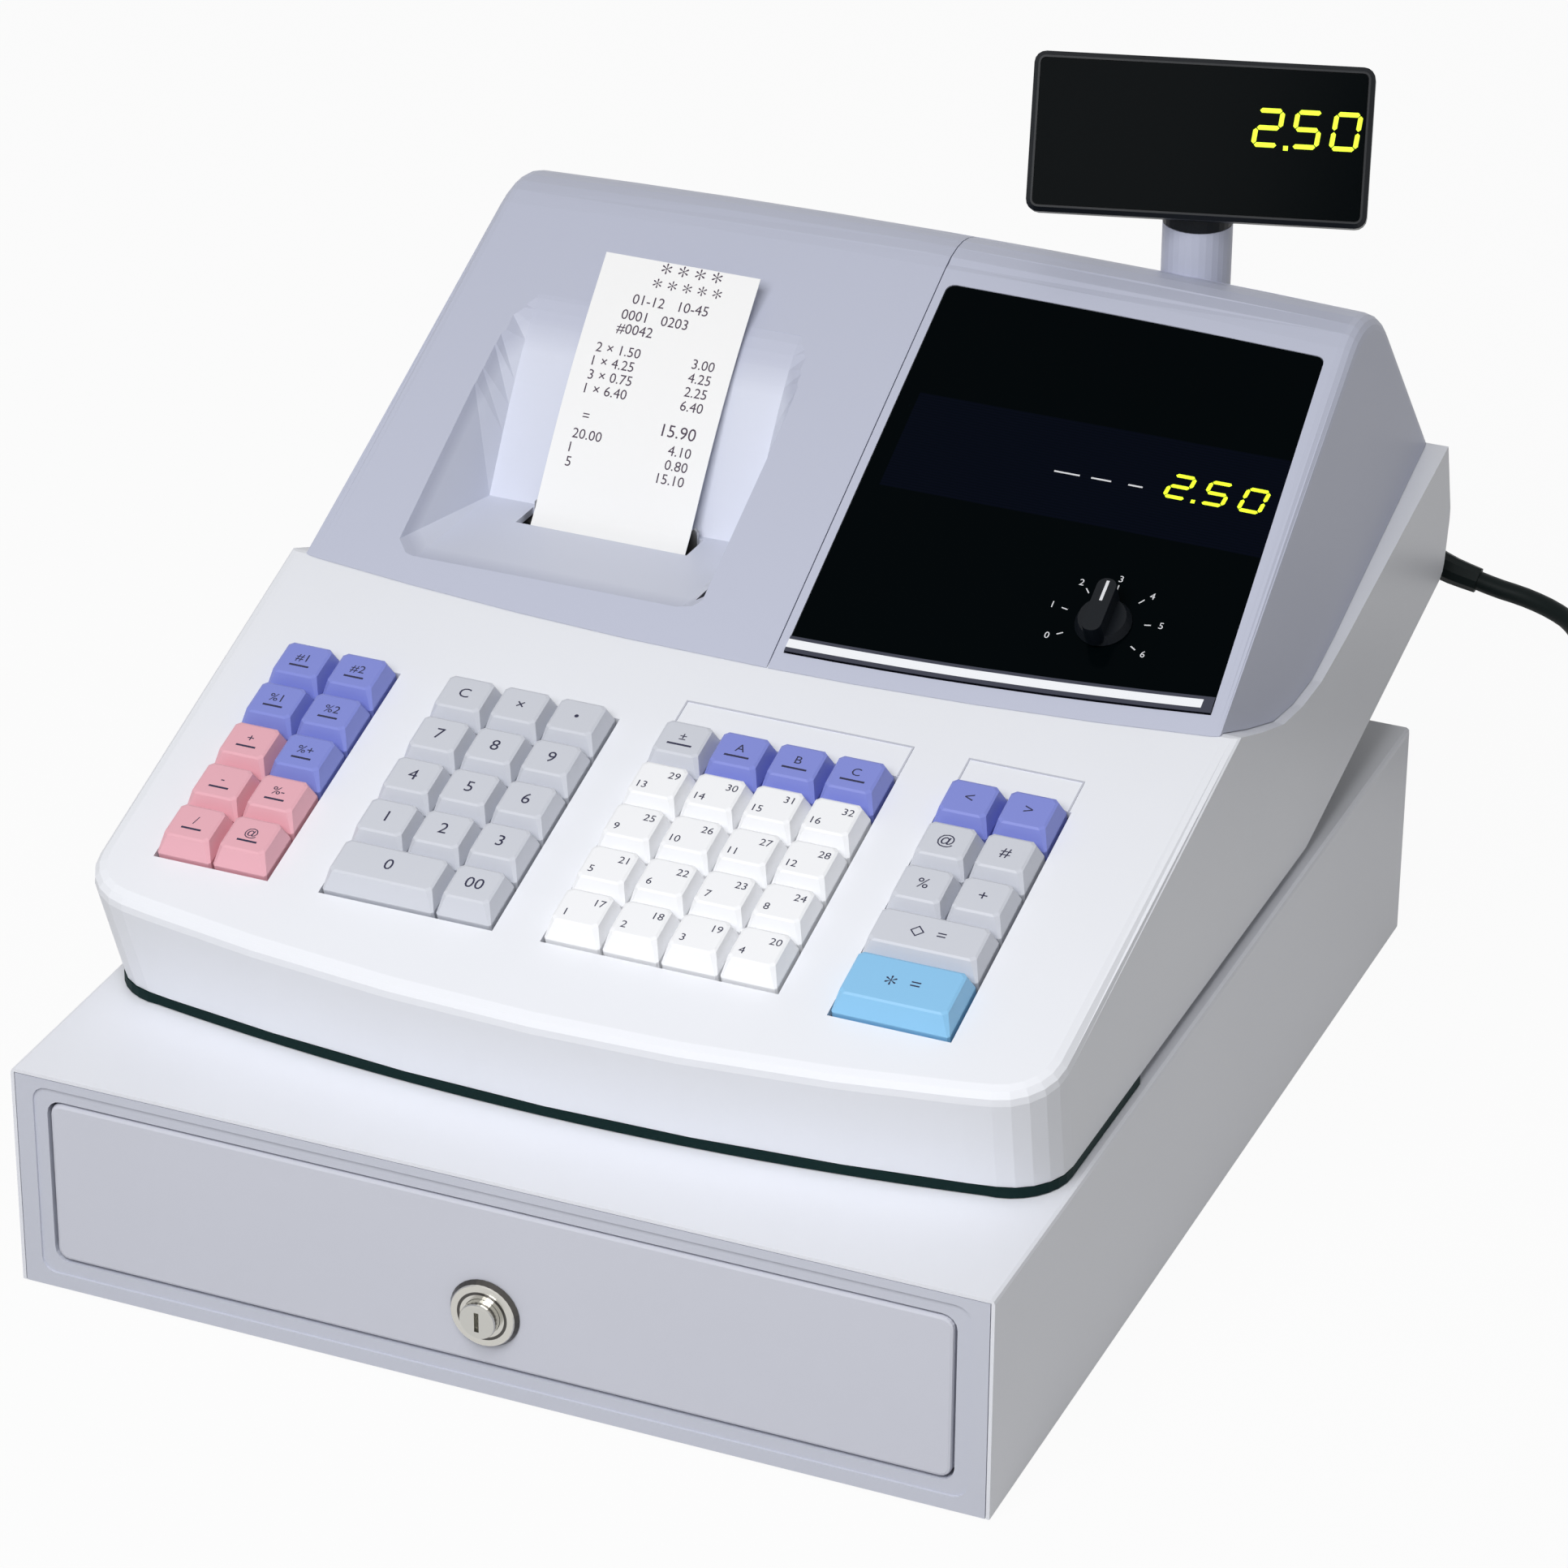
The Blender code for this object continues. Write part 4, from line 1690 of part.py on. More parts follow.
def from_exit(offsets):
    """Route points from their offsets across and behind the exit; heights are over the counter."""
    return [Vector((BOOT_X + across, BACK_Y + behind, height)) for across, behind, height in offsets]


def smooth_route(points, count):
    """Evenly shared points on a smooth curve through the route's own points."""
    route = [Vector(point) for point in points]
    dense = []
    for index in range(len(route) - 1):
        p0 = route[max(index - 1, 0)]
        p1, p2 = route[index], route[index + 1]
        p3 = route[min(index + 2, len(route) - 1)]
        for step in range(12):
            t = step / 12
            dense.append(0.5 * (2 * p1 + (p2 - p0) * t + (2 * p0 - 5 * p1 + 4 * p2 - p3) * t**2 + (3 * p1 - p0 - 3 * p2 + p3) * t**3))
    dense.append(route[-1])
    lengths = [0.0]
    for before, after in zip(dense, dense[1:]):
        lengths.append(lengths[-1] + (after - before).length)
    made = []
    at = 0
    for index in range(count):
        want = lengths[-1] * index / (count - 1)
        while at < len(dense) - 2 and lengths[at + 1] < want:
            at += 1
        span = lengths[at + 1] - lengths[at]
        made.append(dense[at].lerp(dense[at + 1], (want - lengths[at]) / span))
    return made, lengths[-1]


def coil_route():
    """The coil: in on the floor layer and out again on the second, one point every fifteenth of a turn or so."""
    pitch = 2 * CORD_RADIUS + COIL_GAP
    floor = CORD_RADIUS + FLOOR_GAP
    count = round(COIL_TURNS * COIL_POINTS)
    centre = Vector((BOOT_X + COIL_ACROSS, BACK_Y + COIL_BEHIND, 0))
    points = []
    turn_in = COIL_TURNS / 2
    crossing = CROSSING_SHARE
    for index in range(count + 1):
        turn = index / COIL_POINTS
        depth = min(turn, COIL_TURNS - turn, turn_in - crossing / 2)
        climb = min(max((turn - turn_in + crossing / 2) / crossing, 0.0), 1.0)
        radius = COIL_RADIUS - pitch * depth
        angle = pi - 2 * pi * turn
        height = floor + pitch * climb
        points.append(centre + Vector((radius * cos(angle), radius * sin(angle), height)))
    straight = Vector((0, 2 * CORD_RADIUS, 0))
    return [points[0] - straight, *points, points[-1] - Vector((0, PLUG_TAIL, 0))]


def least_gap(points):
    """The least gap between turns of the coil, measured on points that lie more than a quarter turn apart."""
    least = COIL_RADIUS
    apart = COIL_POINTS // 4
    for index, point in enumerate(points):
        for other in range(index + apart, len(points) - 1):
            a, b = points[other], points[other + 1]
            share = max(0.0, min(1.0, (point - a).dot(b - a) / (b - a).length_squared))
            least = min(least, (point - a.lerp(b, share)).length)
    return least - 2 * CORD_RADIUS


def mains_lead():
    wall_y = BACK_Y + SEAT_GAP
    boot_start = Vector((BOOT_X, wall_y, BOOT_Z))
    out = Vector((0, BOOT_FLANGE, 0))
    neck = boot_start + out
    bend, bend_length = smooth_route([neck, neck + out, *from_exit(BOOT_ROUTE)], BOOT_POINTS)
    points = [boot_start, neck, *[point for point in bend[1:]]]
    taper = [BOOT_RADIUS + (BOOT_END_RADIUS - BOOT_RADIUS) * index / (len(bend) - 2) for index in range(len(bend) - 1)]
    boot = tube("boot", points, [BOOT_FLANGE_RADIUS, BOOT_FLANGE_RADIUS, *taper], 3)
    finish(boot, "strain_relief", "cord_black")

    lead_points, lead_length = smooth_route(from_exit(LEAD_ROUTE), LEAD_POINTS)
    first_step = (lead_points[1] - lead_points[0]).normalized()
    lead_points[0] = lead_points[0] + first_step * SEAT_GAP
    lead = tube("lead", lead_points, CORD_RADIUS, 2)
    finish(lead, "cord_lead", "cord_black")

    coil_points = coil_route()
    coil = tube("coil", coil_points, CORD_RADIUS, 1)
    finish(coil, "cord_coil", "cord_black")
    coil_length = sum((b - a).length for a, b in zip(coil_points, coil_points[1:]))
    print(f"lead {lead_length:.4f} m, coil {coil_length:.4f} m, boot {bend_length:.4f} m")
    print(f"least gap between the coil's turns {least_gap(coil_points) * 1000:.2f} mm")

    end = coil_points[-1]
    nose_y = end.y - SEAT_GAP
    half_w, half_h = PLUG_WIDTH / 2, PLUG_HEIGHT / 2
    middle_z = max(half_h + FLOOR_GAP, end.z)
    body_front = nose_y - PLUG_NOSE
    plug = box("plug", (end.x - half_w, body_front - PLUG_LENGTH, middle_z - half_h), (end.x + half_w, body_front, middle_z + half_h))
    soften(plug, PLUG_HEIGHT / 6, 3, lambda mid, along, edge: True)
    neck = drum("neck", (end.x, body_front - OVERRUN, middle_z), (end.x, nose_y, middle_z), PLUG_NECK_RADIUS + CORD_RADIUS / 2, PLUG_NECK_RADIUS, segments=16)
    join(plug, neck)
    blade_y = body_front - PLUG_LENGTH
    for side in (-1, 1):
        x = end.x + side * BLADE_SPREAD / 2
        blade = box(
            "blade",
            (x - BLADE_THICKNESS / 2, blade_y - BLADE_LENGTH, middle_z - BLADE_WIDTH / 2),
            (x + BLADE_THICKNESS / 2, blade_y + OVERRUN, middle_z + BLADE_WIDTH / 2),
        )
        join(plug, blade)
    finish(plug, "mains_plug", "cord_black")


clear_scene()
PARTS = collection("cash_register")
CUTTERS = collection("cutters")
ROOT = bpy.data.objects.new("register_origin", None)
ROOT.location = (0, ROOT_SHIFT, 0)
PARTS.objects.link(ROOT)
print(f"origin shift {ROOT_SHIFT * 1000:.2f} mm")
cabinet_shell()
cabinet_bezel()
drawer_box()
drawer_front()
lock()
coin_tray()
note_clips()
drawer_rollers()
latch_and_solenoid()
base_housing()
base_pan()
keyboard_board()
main_board()
transformer()
printer_cover()
display_housing()
display_window()
window_trim()
display_module()
mode_switch()
receipt_strip()
printer_frame()
platen_roller()
paper_roll()
paper_spindle()
tear_bar()
display_pole()
display_head()
head_window()
keys()
keypad(0, "function_keypad", "key_pink")
keypad(2, "department_keypad", "key_white")
mains_lead()
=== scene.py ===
# %% [markdown]
# # A compact cash register, dressed for its portrait
# The solids of the register are already made and packed: a steel cash drawer, and on it a moulded
# case with a keyboard, a receipt printer and a display. This lesson loads them as a fixed frame and
# gives them what a solid model leaves out: paint, moulded plastic, printed legends, lit digits, a
# printed receipt, small screws and a studio.

import json
from math import cos, pi, radians, sin

import bmesh
import bpy
from mathutils import Matrix, Vector
from mathutils.bvhtree import BVHTree


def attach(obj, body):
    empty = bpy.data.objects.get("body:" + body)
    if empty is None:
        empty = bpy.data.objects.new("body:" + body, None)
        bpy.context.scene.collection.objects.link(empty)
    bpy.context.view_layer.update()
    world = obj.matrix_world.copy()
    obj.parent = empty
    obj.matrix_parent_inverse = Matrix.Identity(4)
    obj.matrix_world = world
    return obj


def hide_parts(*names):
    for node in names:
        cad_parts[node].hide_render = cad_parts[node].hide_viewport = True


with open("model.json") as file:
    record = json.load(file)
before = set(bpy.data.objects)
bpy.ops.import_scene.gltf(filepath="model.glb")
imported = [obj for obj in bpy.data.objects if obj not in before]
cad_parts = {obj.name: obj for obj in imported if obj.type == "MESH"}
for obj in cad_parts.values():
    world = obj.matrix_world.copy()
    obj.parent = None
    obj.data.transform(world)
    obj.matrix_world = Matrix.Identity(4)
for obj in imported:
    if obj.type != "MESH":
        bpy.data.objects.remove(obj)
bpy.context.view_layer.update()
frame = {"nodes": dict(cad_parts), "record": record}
nodes = frame["nodes"]

# %% [markdown]
# ## The camera
# A product photograph taken from far away with a long lens keeps parallel edges nearly parallel. The
# camera here stands two metres off, to the right and above, and its angle was worked out from the
# straight edges of the cabinet. The picture's size is taken as 1932 pixels each way, so the lens
# follows from the focal length in pixels.

# %% Camera
IMAGE = 1932
FOCAL_PIXELS = 7489.90
SENSOR = 36
AZIMUTH = radians(22.93573)
ELEVATION = radians(28.33744)
ROLL = radians(0.42677)
DISTANCE = 2.020713
AIM = Vector((0, -0.015306, 0.1))
AIM_PIXEL = (920.192, 1031.014)

back = Vector((sin(AZIMUTH) * cos(ELEVATION), -cos(AZIMUTH) * cos(ELEVATION), sin(ELEVATION)))
level = Vector((0, 0, 1)).cross(back).normalized()
upright = back.cross(level)
right = level * cos(ROLL) + upright * sin(ROLL)
up = upright * cos(ROLL) - level * sin(ROLL)
off_x = (AIM_PIXEL[0] - IMAGE / 2) / FOCAL_PIXELS * DISTANCE
off_y = (AIM_PIXEL[1] - IMAGE / 2) / FOCAL_PIXELS * DISTANCE
eye = AIM + back * DISTANCE - right * off_x + up * off_y

lens = bpy.data.cameras.new("portrait_lens")
lens.sensor_width = SENSOR
lens.lens = FOCAL_PIXELS / IMAGE * SENSOR
camera = bpy.data.objects.new("portrait_camera", lens)
camera.matrix_world = Matrix.Translation(eye) @ Matrix((right, up, back)).transposed().to_4x4()
bpy.context.scene.collection.objects.link(camera)
bpy.context.scene.camera = camera
print("lens", round(lens.lens, 2), "mm, eye", [round(value, 3) for value in eye])

# %% [markdown]
# ## The mains lead
# A mains lead is one length of round rubber cord. It leaves the back wall through a tapered boot,
# drops to the counter behind the register and lies there in a coil, with the plug beside it. A curve
# with a round bevel makes such a cord well, because its points are the cord's own middle line, so
# its length can be measured. The route runs through the same points as the solid it stands for.

# %% Route of the lead
CORD_RADIUS = 0.0035
EXIT = Vector((0.1300, 0.221506, 0.1345))
ROUTE = (
    (0.1300, 0.2245, 0.1345),
    (0.1300, 0.2275, 0.1345),
    (0.1365, 0.2307, 0.1325),
    (0.1460, 0.2342, 0.1275),
    (0.1560, 0.2352, 0.1215),
    (0.1640, 0.2355, 0.1183),
    (0.1740, 0.2357, 0.1160),
    (0.1815, 0.2359, 0.1143),
    (0.1915, 0.2369, 0.1122),
    (0.2010, 0.2397, 0.1078),
    (0.2070, 0.2447, 0.1010),
    (0.2105, 0.2527, 0.0880),
    (0.2130, 0.2627, 0.0660),
    (0.2140, 0.2727, 0.0400),
    (0.2140, 0.2827, 0.0180),
    (0.2140, 0.2937, 0.0062),
    (0.2140, 0.3047, 0.0037),
    (0.2140, 0.3147, 0.0036),
)
STEP = 0.004
SPLITS = 16


def smoothed(points, step):
    """Points a set step apart on a smooth curve through the route's own points."""
    route = [Vector(point) for point in points]
    dense = []
    for index in range(len(route) - 1):
        p0, p1 = route[max(index - 1, 0)], route[index]
        p2, p3 = route[index + 1], route[min(index + 2, len(route) - 1)]
        for part in range(SPLITS):
            t = part / SPLITS
            curve = 2 * p1 + (p2 - p0) * t + (2 * p0 - 5 * p1 + 4 * p2 - p3) * t**2
            dense.append((curve + (3 * p1 - p0 - 3 * p2 + p3) * t**3) / 2)
    dense.append(route[-1])
    made = [dense[0]]
    for point in dense[1:-1]:
        if (point - made[-1]).length >= step:
            made.append(point)
    return [*made, dense[-1]]


print("route through", len(ROUTE), "points")

# %% Coil and the whole cord
COIL_MIDDLE = Vector((0.262, 0.322694, 0))
COIL_RADIUS = 0.048
COIL_TURNS = 6.5
COIL_PITCH = 0.0085
COIL_FLOOR = 0.0036
TURN_POINTS = 48
PLUG_TAIL = 0.042
CLIMB_TURNS = 0.5


def coil_line():
    """Turns that run inwards on the counter and back out on top of them."""
    points = []
    innermost = (COIL_TURNS - CLIMB_TURNS) / 2
    for index in range(round(COIL_TURNS * TURN_POINTS) + 1):
        turn = index / TURN_POINTS
        depth = min(turn, COIL_TURNS - turn, innermost)
        climb = min(max((turn - innermost) / CLIMB_TURNS, 0.0), 1.0)
        radius = COIL_RADIUS - COIL_PITCH * depth
        angle = pi - 2 * pi * turn
        height = COIL_FLOOR + COIL_PITCH * climb
        points.append(COIL_MIDDLE + Vector((radius * cos(angle), radius * sin(angle), height)))
    return [*points, points[-1] - Vector((0, PLUG_TAIL, 0))]


line = [EXIT, *smoothed(ROUTE, STEP), *coil_line()]
curve = bpy.data.curves.new("mains_lead", "CURVE")
curve.dimensions = "3D"
curve.bevel_depth = CORD_RADIUS
curve.bevel_resolution = 4
curve.use_fill_caps = True
spline = curve.splines.new("POLY")
spline.points.add(len(line) - 1)
for point, place in zip(spline.points, line):
    point.co = (*place, 1)
mains_lead = bpy.data.objects.new("mains_lead", curve)
bpy.context.scene.collection.objects.link(mains_lead)
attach(mains_lead, "register")
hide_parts("cord_lead", "cord_coil")

# %% [markdown]
# ## Colours and a fine grain
# Moulded plastic and sprayed paint are never quite smooth. The mould is etched with a fine grain, and
# paint dries with a slight waviness. Both are small bumps of a known size, so one node group makes
# them: it takes the size of the grain and its depth in metres, and gives a normal for the shader and
# a soft mottle that varies colour and gloss a little. Each material then sets its own values.

# %% Grain group
CLOUD_SCALE = 22


def shade(red, green, blue):
    """A colour as a picture shows it, 0 to 255, turned into the linear values that shaders use."""
    made = []
    for value in (red, green, blue):
        part = value / 255
        made.append(part / 12.92 if part <= 0.04045 else ((part + 0.055) / 1.055) ** 2.4)
    return (*made, 1.0)


def new_group(name, inputs, outputs):
    group = bpy.data.node_groups.new(name, "ShaderNodeTree")
    for label, kind, value in inputs:
        socket = group.interface.new_socket(name=label, in_out="INPUT", socket_type=kind)
        socket.default_value = value
    for label, kind in outputs:
        group.interface.new_socket(name=label, in_out="OUTPUT", socket_type=kind)
    start = group.nodes.new("NodeGroupInput")
    end = group.nodes.new("NodeGroupOutput")
    return group, start, end


def math_node(tree, operation, first, second=None, third=None):
    """A Math node whose inputs are sockets or plain numbers; gives back its output."""
    node = tree.nodes.new("ShaderNodeMath")
    node.operation = operation
    for socket, value in zip(node.inputs, (first, second, third)):
        if isinstance(value, (int, float)):
            socket.default_value = value
        elif value is not None:
            tree.links.new(value, socket)
    return node.outputs[0]


def grain_group():
    inputs = [("Size", "NodeSocketFloat", 0.0004), ("Depth", "NodeSocketFloat", 0.00001)]
    outputs = [("Normal", "NodeSocketVector"), ("Mottle", "NodeSocketFloat")]
    group, start, end = new_group("fine_grain", inputs, outputs)
    place = group.nodes.new("ShaderNodeTexCoord")
    fine = group.nodes.new("ShaderNodeTexNoise")
    fine.inputs["Detail"].default_value = 3
    scale = math_node(group, "DIVIDE", 1.0, start.outputs["Size"])
    group.links.new(place.outputs["Object"], fine.inputs["Vector"])
    group.links.new(scale, fine.inputs["Scale"])
    bump = group.nodes.new("ShaderNodeBump")
    group.links.new(start.outputs["Depth"], bump.inputs["Distance"])
    group.links.new(fine.outputs["Fac"], bump.inputs["Height"])
    cloud = group.nodes.new("ShaderNodeTexNoise")
    cloud.inputs["Scale"].default_value = CLOUD_SCALE
    cloud.inputs["Detail"].default_value = 4
    group.links.new(place.outputs["Object"], cloud.inputs["Vector"])
    group.links.new(bump.outputs["Normal"], end.inputs["Normal"])
    group.links.new(cloud.outputs["Fac"], end.inputs["Mottle"])
    return group


GRAIN = grain_group()
print("group", GRAIN.name, [socket.name for socket in GRAIN.interface.items_tree])

# %% [markdown]
# ## A finish for each material
# Every finish starts from the same plain recipe: a base colour that drifts very slightly with the
# mottle, a roughness that does the same, and the grain as the normal. What differs is the colour, the
# gloss and the size of the grain. Coarser grain reads as a textured moulding, and a long soft wave
# reads as sprayed paint on sheet steel.

# %% Finish helper


def finish(name, colour, rough, grain=0.0004, depth=0.00001, drift=0.04, metal=0.0, sheen=0.5):
    """A material with a drifting base colour and roughness; gives back the material."""
    made = bpy.data.materials.new(name)
    made.use_nodes = True
    tree = made.node_tree
    shader = tree.nodes["Principled BSDF"]
    shader.inputs["Metallic"].default_value = metal
    shader.inputs["Specular IOR Level"].default_value = sheen
    texture = tree.nodes.new("ShaderNodeGroup")
    texture.node_tree = GRAIN
    texture.inputs["Size"].default_value = grain
    texture.inputs["Depth"].default_value = depth
    tree.links.new(texture.outputs["Normal"], shader.inputs["Normal"])
    ramp = tree.nodes.new("ShaderNodeMix")
    ramp.data_type = "RGBA"
    for label, share in (("A", 1 - drift), ("B", 1 + drift)):
        ramp.inputs[label].default_value = (*(min(part * share, 1.0) for part in colour[:3]), 1.0)
    tree.links.new(texture.outputs["Mottle"], ramp.inputs["Factor"])
    repaint(made, ramp.outputs["Result"])
    gloss = tree.nodes.new("ShaderNodeMapRange")
    gloss.inputs["To Min"].default_value = rough * 0.9
    gloss.inputs["To Max"].default_value = rough * 1.1
    tree.links.new(texture.outputs["Mottle"], gloss.inputs["Value"])
    tree.links.new(gloss.outputs["Result"], shader.inputs["Roughness"])
    return made


def repaint(made, colour):
    """Gives a material another base colour, from a socket of its own tree."""
    made.node_tree.links.new(colour, made.node_tree.nodes["Principled BSDF"].inputs["Base Color"])
    return made


PEEL, PEEL_DEPTH = 0.0022, 0.00002
MOULD, MOULD_DEPTH = 0.0005, 0.000012
FINE, FINE_DEPTH = 0.0004, 0.00001
KEY_DEPTH = 0.000008
HOOD_GREY = shade(192, 196, 214)
GREY = shade(206, 209, 218)
BLUE = shade(128, 138, 214)

# Colour, roughness, size and depth of the grain, drift, metal and sheen of each finish.
RECIPES = {
    "cabinet_paint": (shade(232, 234, 241), 0.42, PEEL, PEEL_DEPTH, 0.015),
    "drawer_front_paint": (shade(206, 208, 219), 0.45, PEEL, PEEL_DEPTH, 0.015),
    "bezel_plastic": (shade(200, 203, 215), 0.5, MOULD, FINE_DEPTH, 0.015),
    "case_white": (shade(238, 240, 246), 0.42, MOULD, MOULD_DEPTH, 0.012),
    "hood_grey": (HOOD_GREY, 0.42, MOULD, MOULD_DEPTH, 0.015),
    "black_plastic": (shade(8, 13, 19), 0.4, FINE, FINE_DEPTH, 0.1, 0.0, 0.18),
    "tray_grey": (shade(112, 115, 120), 0.55, 0.0006, 0.00002, 0.08),
    "rubber": (shade(34, 34, 35), 0.8, 0.0003, 0.00002, 0.15, 0.0, 0.3),
    "paper": (shade(248, 248, 248), 0.85, 0.00025, 0.000006, 0.004, 0.0, 0.3),
    "key_grey": (GREY, 0.4, FINE, KEY_DEPTH, 0.02),
    "key_blue": (BLUE, 0.4, FINE, KEY_DEPTH, 0.03),
    "key_total": (shade(138, 196, 236), 0.4, FINE, KEY_DEPTH, 0.03),
    "cord_black": (shade(8, 18, 18), 0.5, 0.0008, 0.00002, 0.15, 0.0, 0.12),
    "chrome": (shade(196, 195, 190), 0.16, 0.0012, 0.000002, 0.02, 1.0),
    # The base pan's dark teal is painted shade for the dark gap under the case, not the sheet's own colour.
    "pan_steel": (shade(40, 50, 52), 0.5, 0.0008, FINE_DEPTH, 0.1, 0.5),
}
FINISHES = {name: finish(name, *recipe) for name, recipe in RECIPES.items()}
painted = FINISHES["cabinet_paint"].node_tree.nodes["Principled BSDF"]
painted.inputs["Coat Weight"].default_value = 0.12
painted.inputs["Coat Roughness"].default_value = 0.3
mains_lead.data.materials.append(FINISHES["cord_black"])
print("finishes", len(FINISHES))

# %% [markdown]
# ## Zinc-plated steel
# Zinc plating crystallises in flakes, each a slightly different grey. A Voronoi pattern gives cells of
# about that size, and its cell colour drives the base colour, so the sheet looks plated and not
# merely grey. The tiny grain on top keeps the reflection soft.

# %% Zinc
FLAKE_SCALE = 160
FLAKE_DARK, FLAKE_PALE = 0.36, 0.55


def zinc(name):
    made = finish(name, shade(176, 178, 180), 0.36, 0.0006, 0.000005, 0.03, metal=1.0)
    tree = made.node_tree
    place = tree.nodes.new("ShaderNodeTexCoord")
    flakes = tree.nodes.new("ShaderNodeTexVoronoi")
    flakes.inputs["Scale"].default_value = FLAKE_SCALE
    tree.links.new(place.outputs["Object"], flakes.inputs["Vector"])
    grey = tree.nodes.new("ShaderNodeMapRange")
    grey.inputs["To Min"].default_value = FLAKE_DARK
    grey.inputs["To Max"].default_value = FLAKE_PALE
    tree.links.new(flakes.outputs["Color"], grey.inputs["Value"])
    join = tree.nodes.new("ShaderNodeCombineColor")
    for channel in ("Red", "Green", "Blue"):
        tree.links.new(grey.outputs["Result"], join.inputs[channel])
    return repaint(made, join.outputs["Color"])


FINISHES["drawer_steel"] = zinc("drawer_steel")
print("zinc flakes", round(1 / FLAKE_SCALE, 4), "m apart")

# %% [markdown]
# ## Where things lie on the sloping faces
# The key deck and the display cover are two planes that start from the same line across the register.
# Places on them are easiest to give as a distance across and a distance up the slope. Two matrices
# turn such places into real ones. A small node group does the same inside a material, so that a
# colour can change from one key cap to the next within one moulded block.

# %% Planes
JUNCTION = Vector((0, 0.0024 - 0.015306, 0.1713))
DECK_SLOPE = radians(16.3)
COVER_SLOPE = radians(28.7)
DECK = Matrix.Translation(JUNCTION) @ Matrix.Rotation(DECK_SLOPE, 4, "X")
COVER = Matrix.Translation(JUNCTION) @ Matrix.Rotation(COVER_SLOPE, 4, "X")


def slope_group():
    inputs = [("Slope", "NodeSocketFloat", DECK_SLOPE)]
    outputs = [(label, "NodeSocketFloat") for label in ("Across", "Up", "Above")]
    group, start, end = new_group("place_on_slope", inputs, outputs)
    place = group.nodes.new("ShaderNodeTexCoord")
    apart = group.nodes.new("ShaderNodeSeparateXYZ")
    group.links.new(place.outputs["Object"], apart.inputs[0])
    run = math_node(group, "SUBTRACT", apart.outputs["Y"], JUNCTION.y)
    rise = math_node(group, "SUBTRACT", apart.outputs["Z"], JUNCTION.z)
    slope_cos = math_node(group, "COSINE", start.outputs["Slope"])
    slope_sin = math_node(group, "SINE", start.outputs["Slope"])
    level_part = math_node(group, "MULTIPLY", run, slope_cos)
    group.links.new(math_node(group, "MULTIPLY_ADD", rise, slope_sin, level_part), end.inputs["Up"])
    fall = math_node(group, "MULTIPLY", run, slope_sin)
    height = math_node(group, "MULTIPLY", rise, slope_cos)
    group.links.new(math_node(group, "SUBTRACT", height, fall), end.inputs["Above"])
    group.links.new(apart.outputs["X"], end.inputs["Across"])
    return group


ON_SLOPE = slope_group()


def slope_place(tree, slope):
    """The place on a slope inside a material: across, up the slope and above it."""
    where = tree.nodes.new("ShaderNodeGroup")
    where.node_tree = ON_SLOPE
    where.inputs["Slope"].default_value = slope
    return where.outputs["Across"], where.outputs["Up"], where.outputs["Above"]


print("planes start from", [round(value, 4) for value in JUNCTION])

# %% Key block colours
KEY_PITCH = 0.020
KEYPAD_TOP = 0.0463
PAD_X = (-0.1365, -0.0775, 0.0, 0.0988)


def row_edge(rows):
    return -KEYPAD_TOP - rows * KEY_PITCH


def mixed(tree, factor, first, second):
    """Colour first where the factor is 0 and second where it is 1."""
    mix = tree.nodes.new("ShaderNodeMix")
    mix.data_type = "RGBA"
    tree.links.new(factor, mix.inputs["Factor"])
    for label, value in (("A", first), ("B", second)):
        if isinstance(value, tuple):
            mix.inputs[label].default_value = value
        else:
            tree.links.new(value, mix.inputs[label])
    return mix.outputs["Result"]


def block_finish(name, colour, paint):
    """A key block's finish, whose base colour comes from paint(tree, across, up)."""
    made = finish(name, colour, 0.4, FINE, KEY_DEPTH, 0.02)
    across, up_slope = slope_place(made.node_tree, DECK_SLOPE)[:2]
    return repaint(made, paint(made.node_tree, across, up_slope))


PINK = shade(230, 172, 184)
WHITE = shade(247, 248, 251)


def function_paint(tree, across, up):
    left = math_node(tree, "LESS_THAN", across, PAD_X[0] + KEY_PITCH / 2)
    edge = math_node(tree, "MULTIPLY_ADD", left, KEY_PITCH, row_edge(3))
    return mixed(tree, math_node(tree, "GREATER_THAN", up, edge), PINK, BLUE)


def department_paint(tree, across, up):
    top = math_node(tree, "GREATER_THAN", up, row_edge(1))
    first = math_node(tree, "LESS_THAN", across, PAD_X[2] + KEY_PITCH / 2)
    return mixed(tree, top, WHITE, mixed(tree, first, BLUE, GREY))


FINISHES["function_keys"] = block_finish("function_keys", PINK, function_paint)
FINISHES["department_keys"] = block_finish("department_keys", WHITE, department_paint)
print("key pitch", KEY_PITCH, "m, blocks start at", PAD_X)

# %% [markdown]
# ## The smoked display window
# The window is one pane of dark acrylic. Behind it the display tube shows as a faint blue band with a
# fine mesh. That band is a matter of colour only, so it is painted into the pane's own material: a
# mask picks the band by its distance up the cover's slope, and a fine grid darkens it in lines.

# %% Window
BAND_LOW = 0.070
BAND_HIGH = 0.110
BAND_LEFT = 0.020
MESH_PITCH = 0.0011
PANE_BLACK = shade(2, 6, 8)


def between(tree, value, low, high):
    """1 where a value lies between two limits and 0 elsewhere."""
    over = math_node(tree, "GREATER_THAN", value, low)
    under = math_node(tree, "LESS_THAN", value, high)
    return math_node(tree, "MULTIPLY", over, under)


